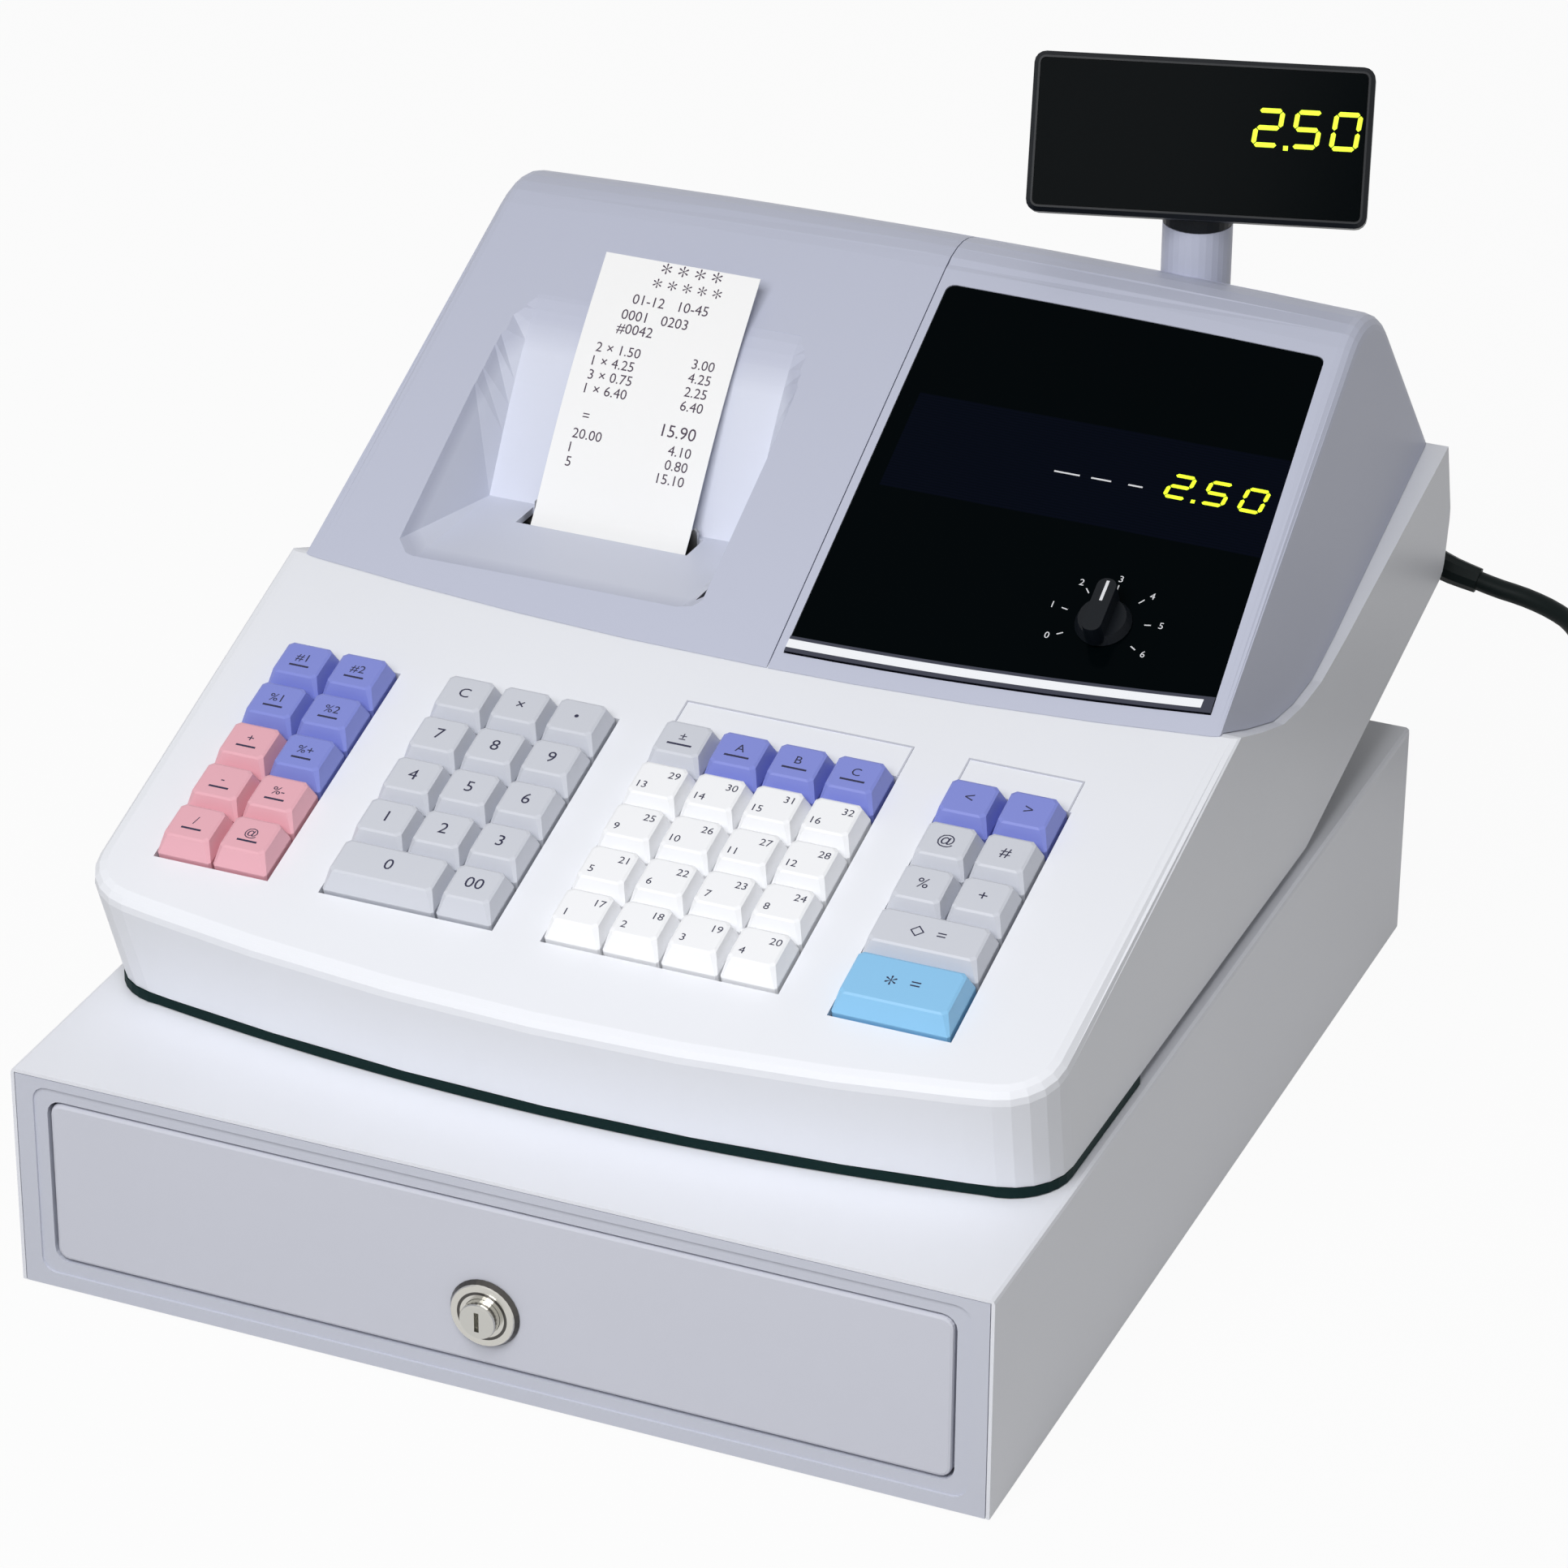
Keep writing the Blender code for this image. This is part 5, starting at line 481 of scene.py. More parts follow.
def window_finish():
    made = finish("window_black", PANE_BLACK, 0.14, 0.003, 0.000002, 0.1, sheen=0.01)
    tree = made.node_tree
    across, along = slope_place(tree, COVER_SLOPE)[:2]
    inside = math_node(tree, "GREATER_THAN", across, BAND_LEFT)
    band = math_node(tree, "MULTIPLY", between(tree, along, BAND_LOW, BAND_HIGH), inside)
    lines = math_node(tree, "SINE", math_node(tree, "MULTIPLY", along, 2 * pi / MESH_PITCH))
    mesh = math_node(tree, "MULTIPLY_ADD", lines, 0.2, 0.75)
    return repaint(made, mixed(tree, math_node(tree, "MULTIPLY", band, mesh), PANE_BLACK, shade(7, 11, 24)))


FINISHES["window_black"] = window_finish()
print("display band", round(BAND_HIGH - BAND_LOW, 3), "m high")

# %% [markdown]
# ## Trim, pocket and lock
# Three pieces get painted light and shade on top of one finish. The bright trim under the window has
# a painted reflection: dark edges and a dark right end, where polished metal turns away from the light.
# Inside the scooped receipt pocket the cover is painted paler, as painted light gathered by its walls.
# The lock is nickel with painted shade: a dark ring and a dark rim. Each is a mask made from the place on
# the piece.

# %% Masks
CREST = -0.0099
BOW = 0.0099
BOW_HALF = 0.169
TRIM_START = 0.0088
TRIM_WIDTH = 0.0062
TRIM_END = 0.1535
POCKET_SIDES = (-0.137, -0.018)
POCKET_ENDS = (0.002, 0.125)
POCKET_SKIN = 0.0015
LOCK_MIDDLE = (-0.002, 0.031)
LOCK_SHADE_RING = (0.0076, 0.0086)
LOCK_RIM = 0.0110
NICKEL = shade(204, 202, 196)


def trim_finish():
    made = finish("trim_painted_reflection", shade(236, 238, 242), 0.2, 0.0012, 0.000002, 0.02, metal=1.0)
    tree = made.node_tree
    across, along = slope_place(tree, COVER_SLOPE)[:2]
    share = math_node(tree, "POWER", math_node(tree, "DIVIDE", across, BOW_HALF), 2.0)
    start = math_node(tree, "MULTIPLY_ADD", share, BOW / cos(COVER_SLOPE), CREST / cos(COVER_SLOPE))
    past = math_node(tree, "SUBTRACT", math_node(tree, "SUBTRACT", along, start), TRIM_START)
    # Painted reflection: bright in the middle band, dark at the edges and dark past TRIM_END at the right
    # end.
    middle = between(tree, past, TRIM_WIDTH * 0.26, TRIM_WIDTH * 0.80)
    middle = math_node(tree, "MULTIPLY", middle, math_node(tree, "LESS_THAN", across, TRIM_END))
    return repaint(made, mixed(tree, middle, shade(70, 72, 84), shade(240, 242, 246)))


def cover_finish():
    made = finish("cover_grey_painted_light", HOOD_GREY, 0.42, MOULD, MOULD_DEPTH, 0.015)
    tree = made.node_tree
    across, along, above = slope_place(tree, COVER_SLOPE)
    wide, long = between(tree, across, *POCKET_SIDES), between(tree, along, *POCKET_ENDS)
    inside = math_node(tree, "MULTIPLY", wide, long)
    depth = tree.nodes.new("ShaderNodeMapRange")
    depth.inputs["From Min"].default_value = -POCKET_SKIN
    depth.inputs["From Max"].default_value = -POCKET_SKIN * 4
    tree.links.new(above, depth.inputs["Value"])
    # Painted light: inside the pocket, below the cover's surface, the grey is painted paler.
    painted_light = math_node(tree, "MULTIPLY", inside, depth.outputs["Result"])
    return repaint(made, mixed(tree, painted_light, HOOD_GREY, shade(212, 216, 231)))


def lock_finish():
    made = finish("lock_nickel_painted_shade", NICKEL, 0.18, 0.0012, 0.000002, 0.02, metal=1.0)
    tree = made.node_tree
    place = tree.nodes.new("ShaderNodeTexCoord")
    apart = tree.nodes.new("ShaderNodeSeparateXYZ")
    tree.links.new(place.outputs["Object"], apart.inputs[0])
    x = math_node(tree, "SUBTRACT", apart.outputs["X"], LOCK_MIDDLE[0])
    z = math_node(tree, "SUBTRACT", apart.outputs["Z"], LOCK_MIDDLE[1])
    squares = math_node(tree, "ADD", math_node(tree, "POWER", x, 2.0), math_node(tree, "POWER", z, 2.0))
    away = math_node(tree, "SQRT", squares)
    # Painted shade: a dark ring and a dark rim round the lock's face.
    shaded_rim = math_node(tree, "GREATER_THAN", away, LOCK_RIM)
    painted_shade = math_node(tree, "MAXIMUM", between(tree, away, *LOCK_SHADE_RING), shaded_rim)
    return repaint(made, mixed(tree, painted_shade, NICKEL, shade(84, 82, 80)))


OWN_FINISHES = {
    "window_trim": trim_finish(),
    "printer_cover": cover_finish(),
    "lock_barrel": lock_finish(),
    "lock_plug": FINISHES["chrome"],
}
print("masked finishes", len(OWN_FINISHES))

# %% [markdown]
# ## Boards and transformer
# Inside the case there are two circuit boards and a transformer, seen only when the printer cover
# comes off. A board is green lacquer over copper tracks, which a brick pattern suggests, and a
# transformer is a stack of thin steel sheets, which fine stripes suggest.

# %% Boards and transformer
LACQUER = shade(38, 98, 62)
TRACK_SCALE = 90
SHEET_SCALE = 300


def board_finish():
    made = finish("board_green", LACQUER, 0.35, 0.001, 0.00001, 0.05)
    tree = made.node_tree
    place = tree.nodes.new("ShaderNodeTexCoord")
    tracks = tree.nodes.new("ShaderNodeTexBrick")
    tracks.inputs["Scale"].default_value = TRACK_SCALE
    tracks.inputs["Color1"].default_value = LACQUER
    tracks.inputs["Color2"].default_value = shade(34, 90, 58)
    tracks.inputs["Mortar"].default_value = shade(92, 140, 80)
    tree.links.new(place.outputs["Object"], tracks.inputs["Vector"])
    return repaint(made, tracks.outputs["Color"])


def transformer_finish():
    made = finish("transformer", shade(96, 92, 88), 0.5, 0.0005, 0.00001, 0.05, metal=0.6)
    tree = made.node_tree
    place = tree.nodes.new("ShaderNodeTexCoord")
    stripes = tree.nodes.new("ShaderNodeTexWave")
    stripes.bands_direction = "Y"
    stripes.inputs["Scale"].default_value = SHEET_SCALE
    tree.links.new(place.outputs["Object"], stripes.inputs["Vector"])
    return repaint(made, mixed(tree, stripes.outputs["Fac"], shade(70, 66, 62), shade(120, 114, 108)))


FINISHES["board_green"] = board_finish()
FINISHES["transformer"] = transformer_finish()
print("finishes in all", len(FINISHES))

# %% Put each finish on its solids
slots = {part["node"]: part["material_slot"] for part in frame["record"]["subparts"]}
for name, solid in nodes.items():
    solid.data.materials.clear()
    solid.data.materials.append(OWN_FINISHES.get(name, FINISHES[slots[name]]))
print("dressed", len(nodes), "solids")

# %% [markdown]
# ## Printed legends on the key caps
# A key's legend is printed ink, a few hundredths of a millimetre thick. It is drawn as flat text,
# turned into a mesh and laid just over the cap's top, and each legend rides with its own key, so it
# goes down when the key is pressed. Numbers and plain signs are enough here.

# %% Ink and text
INK_LIFT = 0.00005
KEY_TOP = 0.0068
DROP = 0.012


def ink(name, colour, rough=0.6, glow=0.0):
    made = finish(name, colour, rough, 0.0003, 0.000002, 0.03, sheen=0.3)
    if glow:
        shader = made.node_tree.nodes["Principled BSDF"]
        shader.inputs["Emission Color"].default_value = colour
        shader.inputs["Emission Strength"].default_value = glow
    return made


KEY_INK = ink("key_ink", shade(40, 40, 66))
WHITE_INK = ink("white_ink", shade(225, 226, 230))
RECEIPT_INK = ink("receipt_ink", shade(78, 66, 82), 0.8)
print("inks", KEY_INK.name, WHITE_INK.name, RECEIPT_INK.name)


def lettering(body, size):
    """Flat text as a bmesh, in the middle of its own place, facing up."""
    words = bpy.data.curves.new("words", "FONT")
    words.body = body
    words.size = size
    words.align_x = "CENTER"
    words.align_y = "CENTER"
    words.resolution_u = 3
    holder = bpy.data.objects.new("words", words)
    bpy.context.scene.collection.objects.link(holder)
    mesh = bpy.data.meshes.new_from_object(holder.evaluated_get(bpy.context.evaluated_depsgraph_get()))
    bpy.data.objects.remove(holder, do_unlink=True)
    return mesh


def bar(length, height):
    """A flat bar in the middle of its own place."""
    mesh = bpy.data.meshes.new("bar")
    half, tall = length / 2, height / 2
    corners = [(-half, -tall, 0), (half, -tall, 0), (half, tall, 0), (-half, tall, 0)]
    mesh.from_pydata(corners, [], [(0, 1, 2, 3)])
    return mesh


def ring(sides, outer, inner):
    """A flat ring with any number of sides, such as a diamond or a circle."""
    mesh = bpy.data.meshes.new("ring")
    points, faces = [], []
    for radius in (outer, inner):
        for index in range(sides):
            angle = 2 * pi * index / sides
            points.append((radius * cos(angle), radius * sin(angle), 0))
    for index in range(sides):
        after = (index + 1) % sides
        faces.append((index, after, sides + after, sides + index))
    mesh.from_pydata(points, [], faces)
    return mesh


def faces_of(name):
    """A solid's faces in a form that straight lines can be shot at."""
    return BVHTree.FromObject(nodes[name], bpy.context.evaluated_depsgraph_get())


def dropped(prints, target, lift):
    """Places flat prints over a solid and lets each of their points down onto its face."""
    laid = []
    for mesh, place in prints:
        out = (place.to_3x3() @ Vector((0, 0, 1))).normalized()
        mesh.transform(place)
        for vertex in mesh.vertices:
            hit = target.ray_cast(vertex.co + out * DROP, -out)[0]
            if hit is not None:
                vertex.co = hit + out * lift
        laid.append((mesh, Matrix()))
    return laid


def gathered(name, prints, material, body):
    """Joins placed prints, each a mesh and its matrix, into one piece that rides on a body."""
    bm = bmesh.new()
    for mesh, place in prints:
        mesh.transform(place)
        bm.from_mesh(mesh)
        bpy.data.meshes.remove(mesh)
    made = bpy.data.meshes.new(name)
    bm.to_mesh(made)
    bm.free()
    made.materials.append(material)
    piece = bpy.data.objects.new(name, made)
    bpy.context.scene.collection.objects.link(piece)
    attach(piece, body)
    return piece


# %% Legends of the moving keys
LEGENDS = {
    "key_correct": "C",
    "key_times": "×",
    "key_point": "•",
    "key_00": "00",
    "key_blue_left": "<",
    "key_blue_right": ">",
    "key_credit": "@",
    "key_cheque": "#",
    "key_charge": "%",
    "key_tax": "+",
}


def key_middle(block, column, row, wide=1):
    return PAD_X[block] + (column + (wide - 1) / 2) * KEY_PITCH, row_edge(row + 0.5)


def on_key(x, up_slope):
    return DECK @ Matrix.Translation((x, up_slope, KEY_TOP + INK_LIFT))


def key_rows():
    """Name, block, column, row and width in places of each key that moves by itself."""
    names = ("key_correct", "key_times", "key_point", "key_7", "key_8", "key_9")
    names += ("key_4", "key_5", "key_6", "key_1", "key_2", "key_3")
    rows = [(name, 1, index % 3, index // 3, 1) for index, name in enumerate(names)]
    rows += [("key_0", 1, 0, 4, 2), ("key_00", 1, 2, 4, 1)]
    rows += [("key_blue_left", 3, 0, 0, 1), ("key_blue_right", 3, 1, 0, 1)]
    rows += [("key_credit", 3, 0, 1, 1), ("key_cheque", 3, 1, 1, 1)]
    rows += [("key_charge", 3, 0, 2, 1), ("key_tax", 3, 1, 2, 1)]
    return [*rows, ("key_subtotal", 3, 0, 3, 2), ("key_total", 3, 0, 4, 2)]


DIGIT = 0.0066
SIGN = 0.0060
PAIR_APART = 0.004
for name, block, column, row, wide in key_rows():
    x, along = key_middle(block, column, row, wide)
    place = on_key(x, along + 0.0012)
    left, right_side = Matrix.Translation((-PAIR_APART, 0, 0)), Matrix.Translation((PAIR_APART, 0, 0))
    if name == "key_subtotal":
        prints = [(ring(4, 0.0024, 0.0018), place @ left), (lettering("=", SIGN), place @ right_side)]
    elif name == "key_total":
        star, equals = Matrix.Translation((0, -0.004, 0)), Matrix.Translation((0, -0.002, 0))
        prints = [(lettering("*", DIGIT * 1.4), place @ left @ star)]
        prints.append((lettering("=", DIGIT), place @ right_side @ equals))
    else:
        text = LEGENDS.get(name, name[-1])
        prints = [(lettering(text, DIGIT if text.isdigit() else SIGN), place)]
    gathered(f"legend_{name[4:]}", prints, KEY_INK, name)
print("legends on", len(key_rows()), "keys")

# %% Legends of the two fixed blocks
FUNCTION_SIGNS = (("#1", "#2"), ("%1", "%2"), ("+", "%+"), ("-", "%-"), ("/", "@"))
DEPARTMENT_SIGNS = ("±", "A", "B", "C")
SMALL_SIGN = SIGN * 0.8
NUMBER = SIGN * 0.7
LINE_THICK = 0.0008
SIGN_UP = 0.002
LINE_DOWN = 0.0017
prints = []
for row, signs in enumerate(FUNCTION_SIGNS):
    for column, sign in enumerate(signs):
        x, along = key_middle(0, column, row)
        prints.append((lettering(sign, SMALL_SIGN), on_key(x, along + SIGN_UP)))
        prints.append((bar(0.0070, LINE_THICK), on_key(x, along - LINE_DOWN)))
gathered("legend_functions", prints, KEY_INK, "register")
prints = []
for column, sign in enumerate(DEPARTMENT_SIGNS):
    x, along = key_middle(2, column, 0)
    prints.append((lettering(sign, SMALL_SIGN), on_key(x, along + SIGN_UP)))
    prints.append((bar(0.0085, LINE_THICK), on_key(x, along - LINE_DOWN)))
for row in range(4):
    for column in range(4):
        x, along = key_middle(2, column, row + 1)
        number = (3 - row) * 4 + column + 1
        prints.append((lettering(str(number), NUMBER), on_key(x - 0.0045, along - 0.002)))
        prints.append((lettering(str(number + 16), NUMBER), on_key(x + 0.0045, along + 0.004)))
gathered("legend_departments", prints, KEY_INK, "register")
print("prints on the department block", len(prints))

# %% [markdown]
# ## Lit digits
# The displays are vacuum tubes whose digits are made of seven bars that glow yellow-green. Each bar is
# a flat hexagon, and a figure is a choice of bars, slightly slanted. They are drawn just over the dark
# pane, which is how the eye sees them through it.

# %% Seven bars to a digit
DIGIT_BARS = {
    "0": "abcdef",
    "2": "abged",
    "5": "afgcd",
}
LIT = ink("lit_digit", shade(196, 222, 40), 0.5, 1.0)
SLANT = Matrix(((1, 0.12, 0, 0), (0, 1, 0, 0), (0, 0, 1, 0), (0, 0, 0, 1)))


def bar_places(width, height):
    """Middle, turn and length of each of the seven bars."""
    half, quarter = width / 2, height / 4
    return {
        "a": (0, height / 2, 0, width),
        "b": (half, quarter, 1, height / 2),
        "c": (half, -quarter, 1, height / 2),
        "d": (0, -height / 2, 0, width),
        "e": (-half, -quarter, 1, height / 2),
        "f": (-half, quarter, 1, height / 2),
        "g": (0, 0, 0, width),
    }


def pointed_bar(length, thick):
    mesh = bpy.data.meshes.new("pointed_bar")
    end, body, half = length / 2 - thick * 0.15, length / 2 - thick * 0.6, thick / 2
    lower = [(-end, 0, 0), (-body, -half, 0), (body, -half, 0)]
    upper = [(end, 0, 0), (body, half, 0), (-body, half, 0)]
    mesh.from_pydata(lower + upper, [], [(0, 1, 2, 3, 4, 5)])
    return mesh


def figure(character, width, height, thick, place):
    prints = []
    for key, (x, y, upright_bar, length) in bar_places(width, height).items():
        if key in DIGIT_BARS[character]:
            turned = Matrix.Translation((x, y, 0)) @ Matrix.Rotation(pi / 2 * upright_bar, 4, "Z")
            prints.append((pointed_bar(length, thick), place @ SLANT @ turned))
    return prints


print("figures", sorted(DIGIT_BARS))


# %% Digits of the operator display
AMOUNT = "250"
AMOUNT_LEFT = 0.1185
AMOUNT_UP = 0.0915
AMOUNT_STEP = 0.0128
POINT = 0.0014
WINDOW_FACE = faces_of("display_window")


def on_window(x, along):
    return COVER @ Matrix.Translation((x, along, 0))


prints = []
for index, character in enumerate(AMOUNT):
    place = on_window(AMOUNT_LEFT + index * AMOUNT_STEP, AMOUNT_UP)
    prints += figure(character, 0.0070, 0.0088, POINT, place)
prints.append((bar(POINT, POINT), on_window(AMOUNT_LEFT + 0.0060, AMOUNT_UP - 0.0047)))
gathered("operator_digits", dropped(prints, WINDOW_FACE, INK_LIFT), LIT, "register")
print("bars and points", len(prints))

# %% [markdown]
# ## The customer display
# The small head on the pole repeats the amount for the customer's side. Its face is tilted and turned
# to the side, so a third matrix gives its plane, in the same order of turns as the solid: round the
# pole, forward from it, then tipped back.

# %% Digits of the customer display
POLE = Vector((0.087, 0.182 - 0.015306, 0))
SWIVEL = Matrix.Translation(POLE) @ Matrix.Rotation(radians(15.85), 4, "Z")
FACE = SWIVEL @ Matrix.Translation((0, -0.009, 0.2993)) @ Matrix.Rotation(-radians(26.1), 4, "X")
PANE = FACE @ Matrix.Rotation(pi / 2, 4, "X")
HEAD_AMOUNT_LEFT = 0.0225
HEAD_AMOUNT_UP = 0.0050
HEAD_AMOUNT_STEP = 0.0130
HEAD_POINT = 0.0016


def on_pane(x, z):
    return PANE @ Matrix.Translation((x, z, INK_LIFT * 2))


prints = []
for index, character in enumerate(AMOUNT):
    place = on_pane(HEAD_AMOUNT_LEFT + index * HEAD_AMOUNT_STEP, HEAD_AMOUNT_UP)
    prints += figure(character, 0.0080, 0.0115, HEAD_POINT, place)
point_place = on_pane(HEAD_AMOUNT_LEFT + 0.0062, HEAD_AMOUNT_UP - 0.0065)
prints.append((bar(HEAD_POINT, HEAD_POINT), point_place))
gathered("customer_digits", prints, LIT, "head")
print("bars and points", len(prints))

# %% [markdown]
# ## Marks on the window
# Round the mode switch stand its positions, printed white on the black pane: a tick and a number each.
# The switch itself has a white line on its grip, so that its position can be read.

# %% Marks round the mode switch
SWITCH = (0.1119, 0.0332)
POSITIONS = 7
FIRST_TURN = radians(210)
TURN_STEP = radians(40)
TICK_RADIUS = 0.0145
NUMBER_ACROSS, NUMBER_ALONG = 0.0190, 0.0180
DASHES = 3
prints = []
for index in range(POSITIONS):
    angle = FIRST_TURN - index * TURN_STEP
    tick = on_window(SWITCH[0] + cos(angle) * TICK_RADIUS, SWITCH[1] + sin(angle) * TICK_RADIUS)
    prints.append((bar(0.0022, 0.0004), tick @ Matrix.Rotation(angle, 4, "Z")))
    place = on_window(SWITCH[0] + cos(angle) * NUMBER_ACROSS, SWITCH[1] + sin(angle) * NUMBER_ALONG)
    prints.append((lettering(str(index), 0.0036), place))
for index in range(DASHES):
    prints.append((bar(0.0090 - index * 0.002, 0.0006), on_window(0.0800 + index * 0.0120, 0.0885)))
gathered("window_marks", dropped(prints, WINDOW_FACE, INK_LIFT), WHITE_INK, "register")
print("marks", len(prints))

prints = [(bar(0.0010, 0.0080), COVER @ Matrix.Translation((SWITCH[0], SWITCH[1] + 0.0055, 0.010)))]
gathered("switch_mark", dropped(prints, faces_of("mode_switch"), INK_LIFT), WHITE_INK, "mode")

# %% [markdown]
# ## The printed receipt
# The receipt is a strip of thermal paper that rises from the printer and bends a little. Its print is
# laid out on a flat page that leans as the paper does, and then each point of it is dropped onto the
# paper's own face, so the print follows the bend. The page holds numbers only.

# %% Receipt print
PAPER_START = Vector((-0.076, 0.060 - 0.015306, 0.1745))
PAPER_SLOPE = radians(50)
PAGE = Matrix.Translation(PAPER_START) @ Matrix.Rotation(PAPER_SLOPE, 4, "X")


def page_line(text, size, across, along, anchor="CENTER"):
    """A line of print on the flat page, across from its middle and up from the slot."""
    mesh = lettering(text, size)
    xs = [vertex.co.x for vertex in mesh.vertices]
    shift = {"LEFT": -min(xs), "RIGHT": -max(xs), "CENTER": 0}[anchor]
    return mesh, PAGE @ Matrix.Translation((across + shift, along, 0))


def columns(left_text, right_text, along):
    """Two texts on one line, against the left and the right margin."""
    left = page_line(left_text, PRINT, -MARGIN, along, "LEFT")
    return [left, page_line(right_text, PRINT, MARGIN, along, "RIGHT")]


MARGIN = 0.0220
PRINT = 0.0050
LINE_STEP = 0.0050
ITEMS_UP = 0.0585
SUM_UP = 0.0340
TAIL_UP = 0.0275
HEADING = (
    ("* * * *", 0.0090, 0.004, 0.0885),
    ("* * * * *", 0.0080, 0.004, 0.0830),
    ("01-12   10-45", 0.0052, 0.000, 0.0775),
    ("0001   0203", 0.0052, -0.004, 0.0715),
    ("#0042", 0.0052, -0.0100, 0.0665),
)
ITEMS = (("2 × 1.50", "3.00"), ("1 × 4.25", "4.25"), ("3 × 0.75", "2.25"), ("1 × 6.40", "6.40"))
TAIL = (("20.00", "4.10"), ("1", "0.80"), ("5", "15.10"))
prints = [page_line(*row) for row in HEADING]
for index, texts in enumerate(ITEMS):
    prints += columns(*texts, ITEMS_UP - index * LINE_STEP)
prints.append(page_line("15.90", 0.0062, MARGIN, SUM_UP, "RIGHT"))
prints.append(page_line("=", PRINT, -0.0200, SUM_UP, "LEFT"))
for index, texts in enumerate(TAIL):
    prints += columns(*texts, TAIL_UP - index * LINE_STEP)
print("lines of print", len(prints))
receipt = dropped(prints, faces_of("receipt_strip"), INK_LIFT)
gathered("receipt_print", receipt, RECEIPT_INK, "register")

# %% [markdown]
# ## Label frames on the deck
# Over the two right-hand key blocks lies a slim frame for a paper label. It is a raised line barely
# higher than the deck, so three thin ribs are enough, each a small box that follows the slope.

# %% Label frames
RIB = 0.0005
RIB_HEIGHT = 0.0004
LABEL_SIDES = ((-0.0092, 0.0704), (0.0892, 0.1286))
LABEL_ENDS = (-KEYPAD_TOP + 0.0006, -0.0317)


def rib(low_x, low_s, high_x, high_s):
    mesh = bpy.data.meshes.new("rib")
    bm = bmesh.new()
    size = Vector((high_x - low_x, high_s - low_s, RIB_HEIGHT))
    middle = Vector(((low_x + high_x) / 2, (low_s + high_s) / 2, RIB_HEIGHT / 2))
    place = Matrix.Translation(middle) @ Matrix.Diagonal((*size, 1))
    bmesh.ops.create_cube(bm, size=1, matrix=place)
    bm.to_mesh(mesh)
    bm.free()
    return mesh, DECK


FRAME_LINE = finish("frame_line", shade(196, 198, 208), 0.45, 0.0005, 0.00001, 0.02)
prints = []
low_s, high_s = LABEL_ENDS
for low_x, high_x in LABEL_SIDES:
    prints += [
        rib(low_x, high_s - RIB, high_x, high_s),
        rib(low_x, low_s, low_x + RIB, high_s - RIB),
        rib(high_x - RIB, low_s, high_x, high_s - RIB),
    ]
gathered("label_frames", prints, FRAME_LINE, "register")
print("ribs", len(prints))

# %% [markdown]
# ## A painted shadow under the case
# The case stands four millimetres over the cabinet, and that gap lies in deep shade. The shade is
# painted: a thin dark strip, put in the gap, follows the case's bowed front a little way in. It is
# one bent strip: a line of places along the front and round both corners, with a rectangle carried along
# it.

# %% Skirt
SHADOW_STRIP_HALF = 0.1640
SHADOW_STRIP_FRONT = -0.1743
SHADOW_STRIP_BOW = 0.016
SHADOW_STRIP_CORNER = 0.021
SHADOW_STRIP_THICK = 0.0008
SHADOW_STRIP_LOW = 0.0804
SHADOW_STRIP_HIGH = 0.0838
SHADOW_STRIP_SIDE = 0.060
FRONT_STEPS = 12
CORNER_STEPS = 8


def skirt_line(inset):
    """Places along the bowed front and round its corners, from left to right."""
    flat = SHADOW_STRIP_HALF - SHADOW_STRIP_CORNER
    right_half = []
    for index in range(FRONT_STEPS + 1):
        x = flat * index / FRONT_STEPS
        right_half.append((x, SHADOW_STRIP_FRONT + inset + SHADOW_STRIP_BOW * (x / SHADOW_STRIP_HALF) ** 2))
    radius = SHADOW_STRIP_CORNER - inset
    corner_y = right_half[-1][1] + radius
    for index in range(1, CORNER_STEPS + 1):
        angle = pi / 2 * index / CORNER_STEPS
        right_half.append((flat + radius * sin(angle), corner_y - radius * cos(angle)))
    right_half.append((SHADOW_STRIP_HALF - inset, corner_y + SHADOW_STRIP_SIDE))
    return [(-x, y) for x, y in right_half[:0:-1]] + right_half


rows = []
for outer, inner in zip(skirt_line(0.0), skirt_line(SHADOW_STRIP_THICK)):
    rows.append([(*outer, SHADOW_STRIP_LOW), (*outer, SHADOW_STRIP_HIGH), (*inner, SHADOW_STRIP_HIGH), (*inner, SHADOW_STRIP_LOW)])
points = [point for row in rows for point in row]
faces = [(0, 1, 2, 3), tuple(len(points) - 1 - index for index in range(4))]
for row in range(len(rows) - 1):
    for side in range(4):
        low, high = 4 * row + side, 4 * row + (side + 1) % 4
        faces.append((high, low, low + 4, high + 4))
shadow_strip_mesh = bpy.data.meshes.new("case_skirt")
shadow_strip_mesh.from_pydata(points, [], faces)
bm = bmesh.new()
bm.from_mesh(shadow_strip_mesh)
bmesh.ops.recalc_face_normals(bm, faces=bm.faces)
bm.to_mesh(shadow_strip_mesh)
bm.free()
# Painted shadow: the strip's dark teal stands for the shade in the gap under the case.
SHADOW_STRIP_BLACK = finish("shadow_strip_black", shade(10, 34, 34), 0.6, 0.0005, 0.00001, 0.05, sheen=0.1)
gathered("case_skirt", [(shadow_strip_mesh, Matrix())], SHADOW_STRIP_BLACK, "register")
print("shadow strip faces", len(faces))

# %% [markdown]
# ## Screws
# The cabinet's back is held by small pan-head screws, all alike. Geometry Nodes are the
# natural tool for what repeats: one head is modelled, a set of points says where, and the tree puts
# the head on each point, turns it the way the point's normal says and makes the result real.

# %% One screw head
HEAD_RADIUS = 0.0028
HEAD_HEIGHT = 0.0012
HEAD_STEPS = 16
HEAD_SHARES = ((0.35, 1.0), (0.7, 0.92), (0.92, 0.6), (1.0, 0.25), (1.0, 0.0))


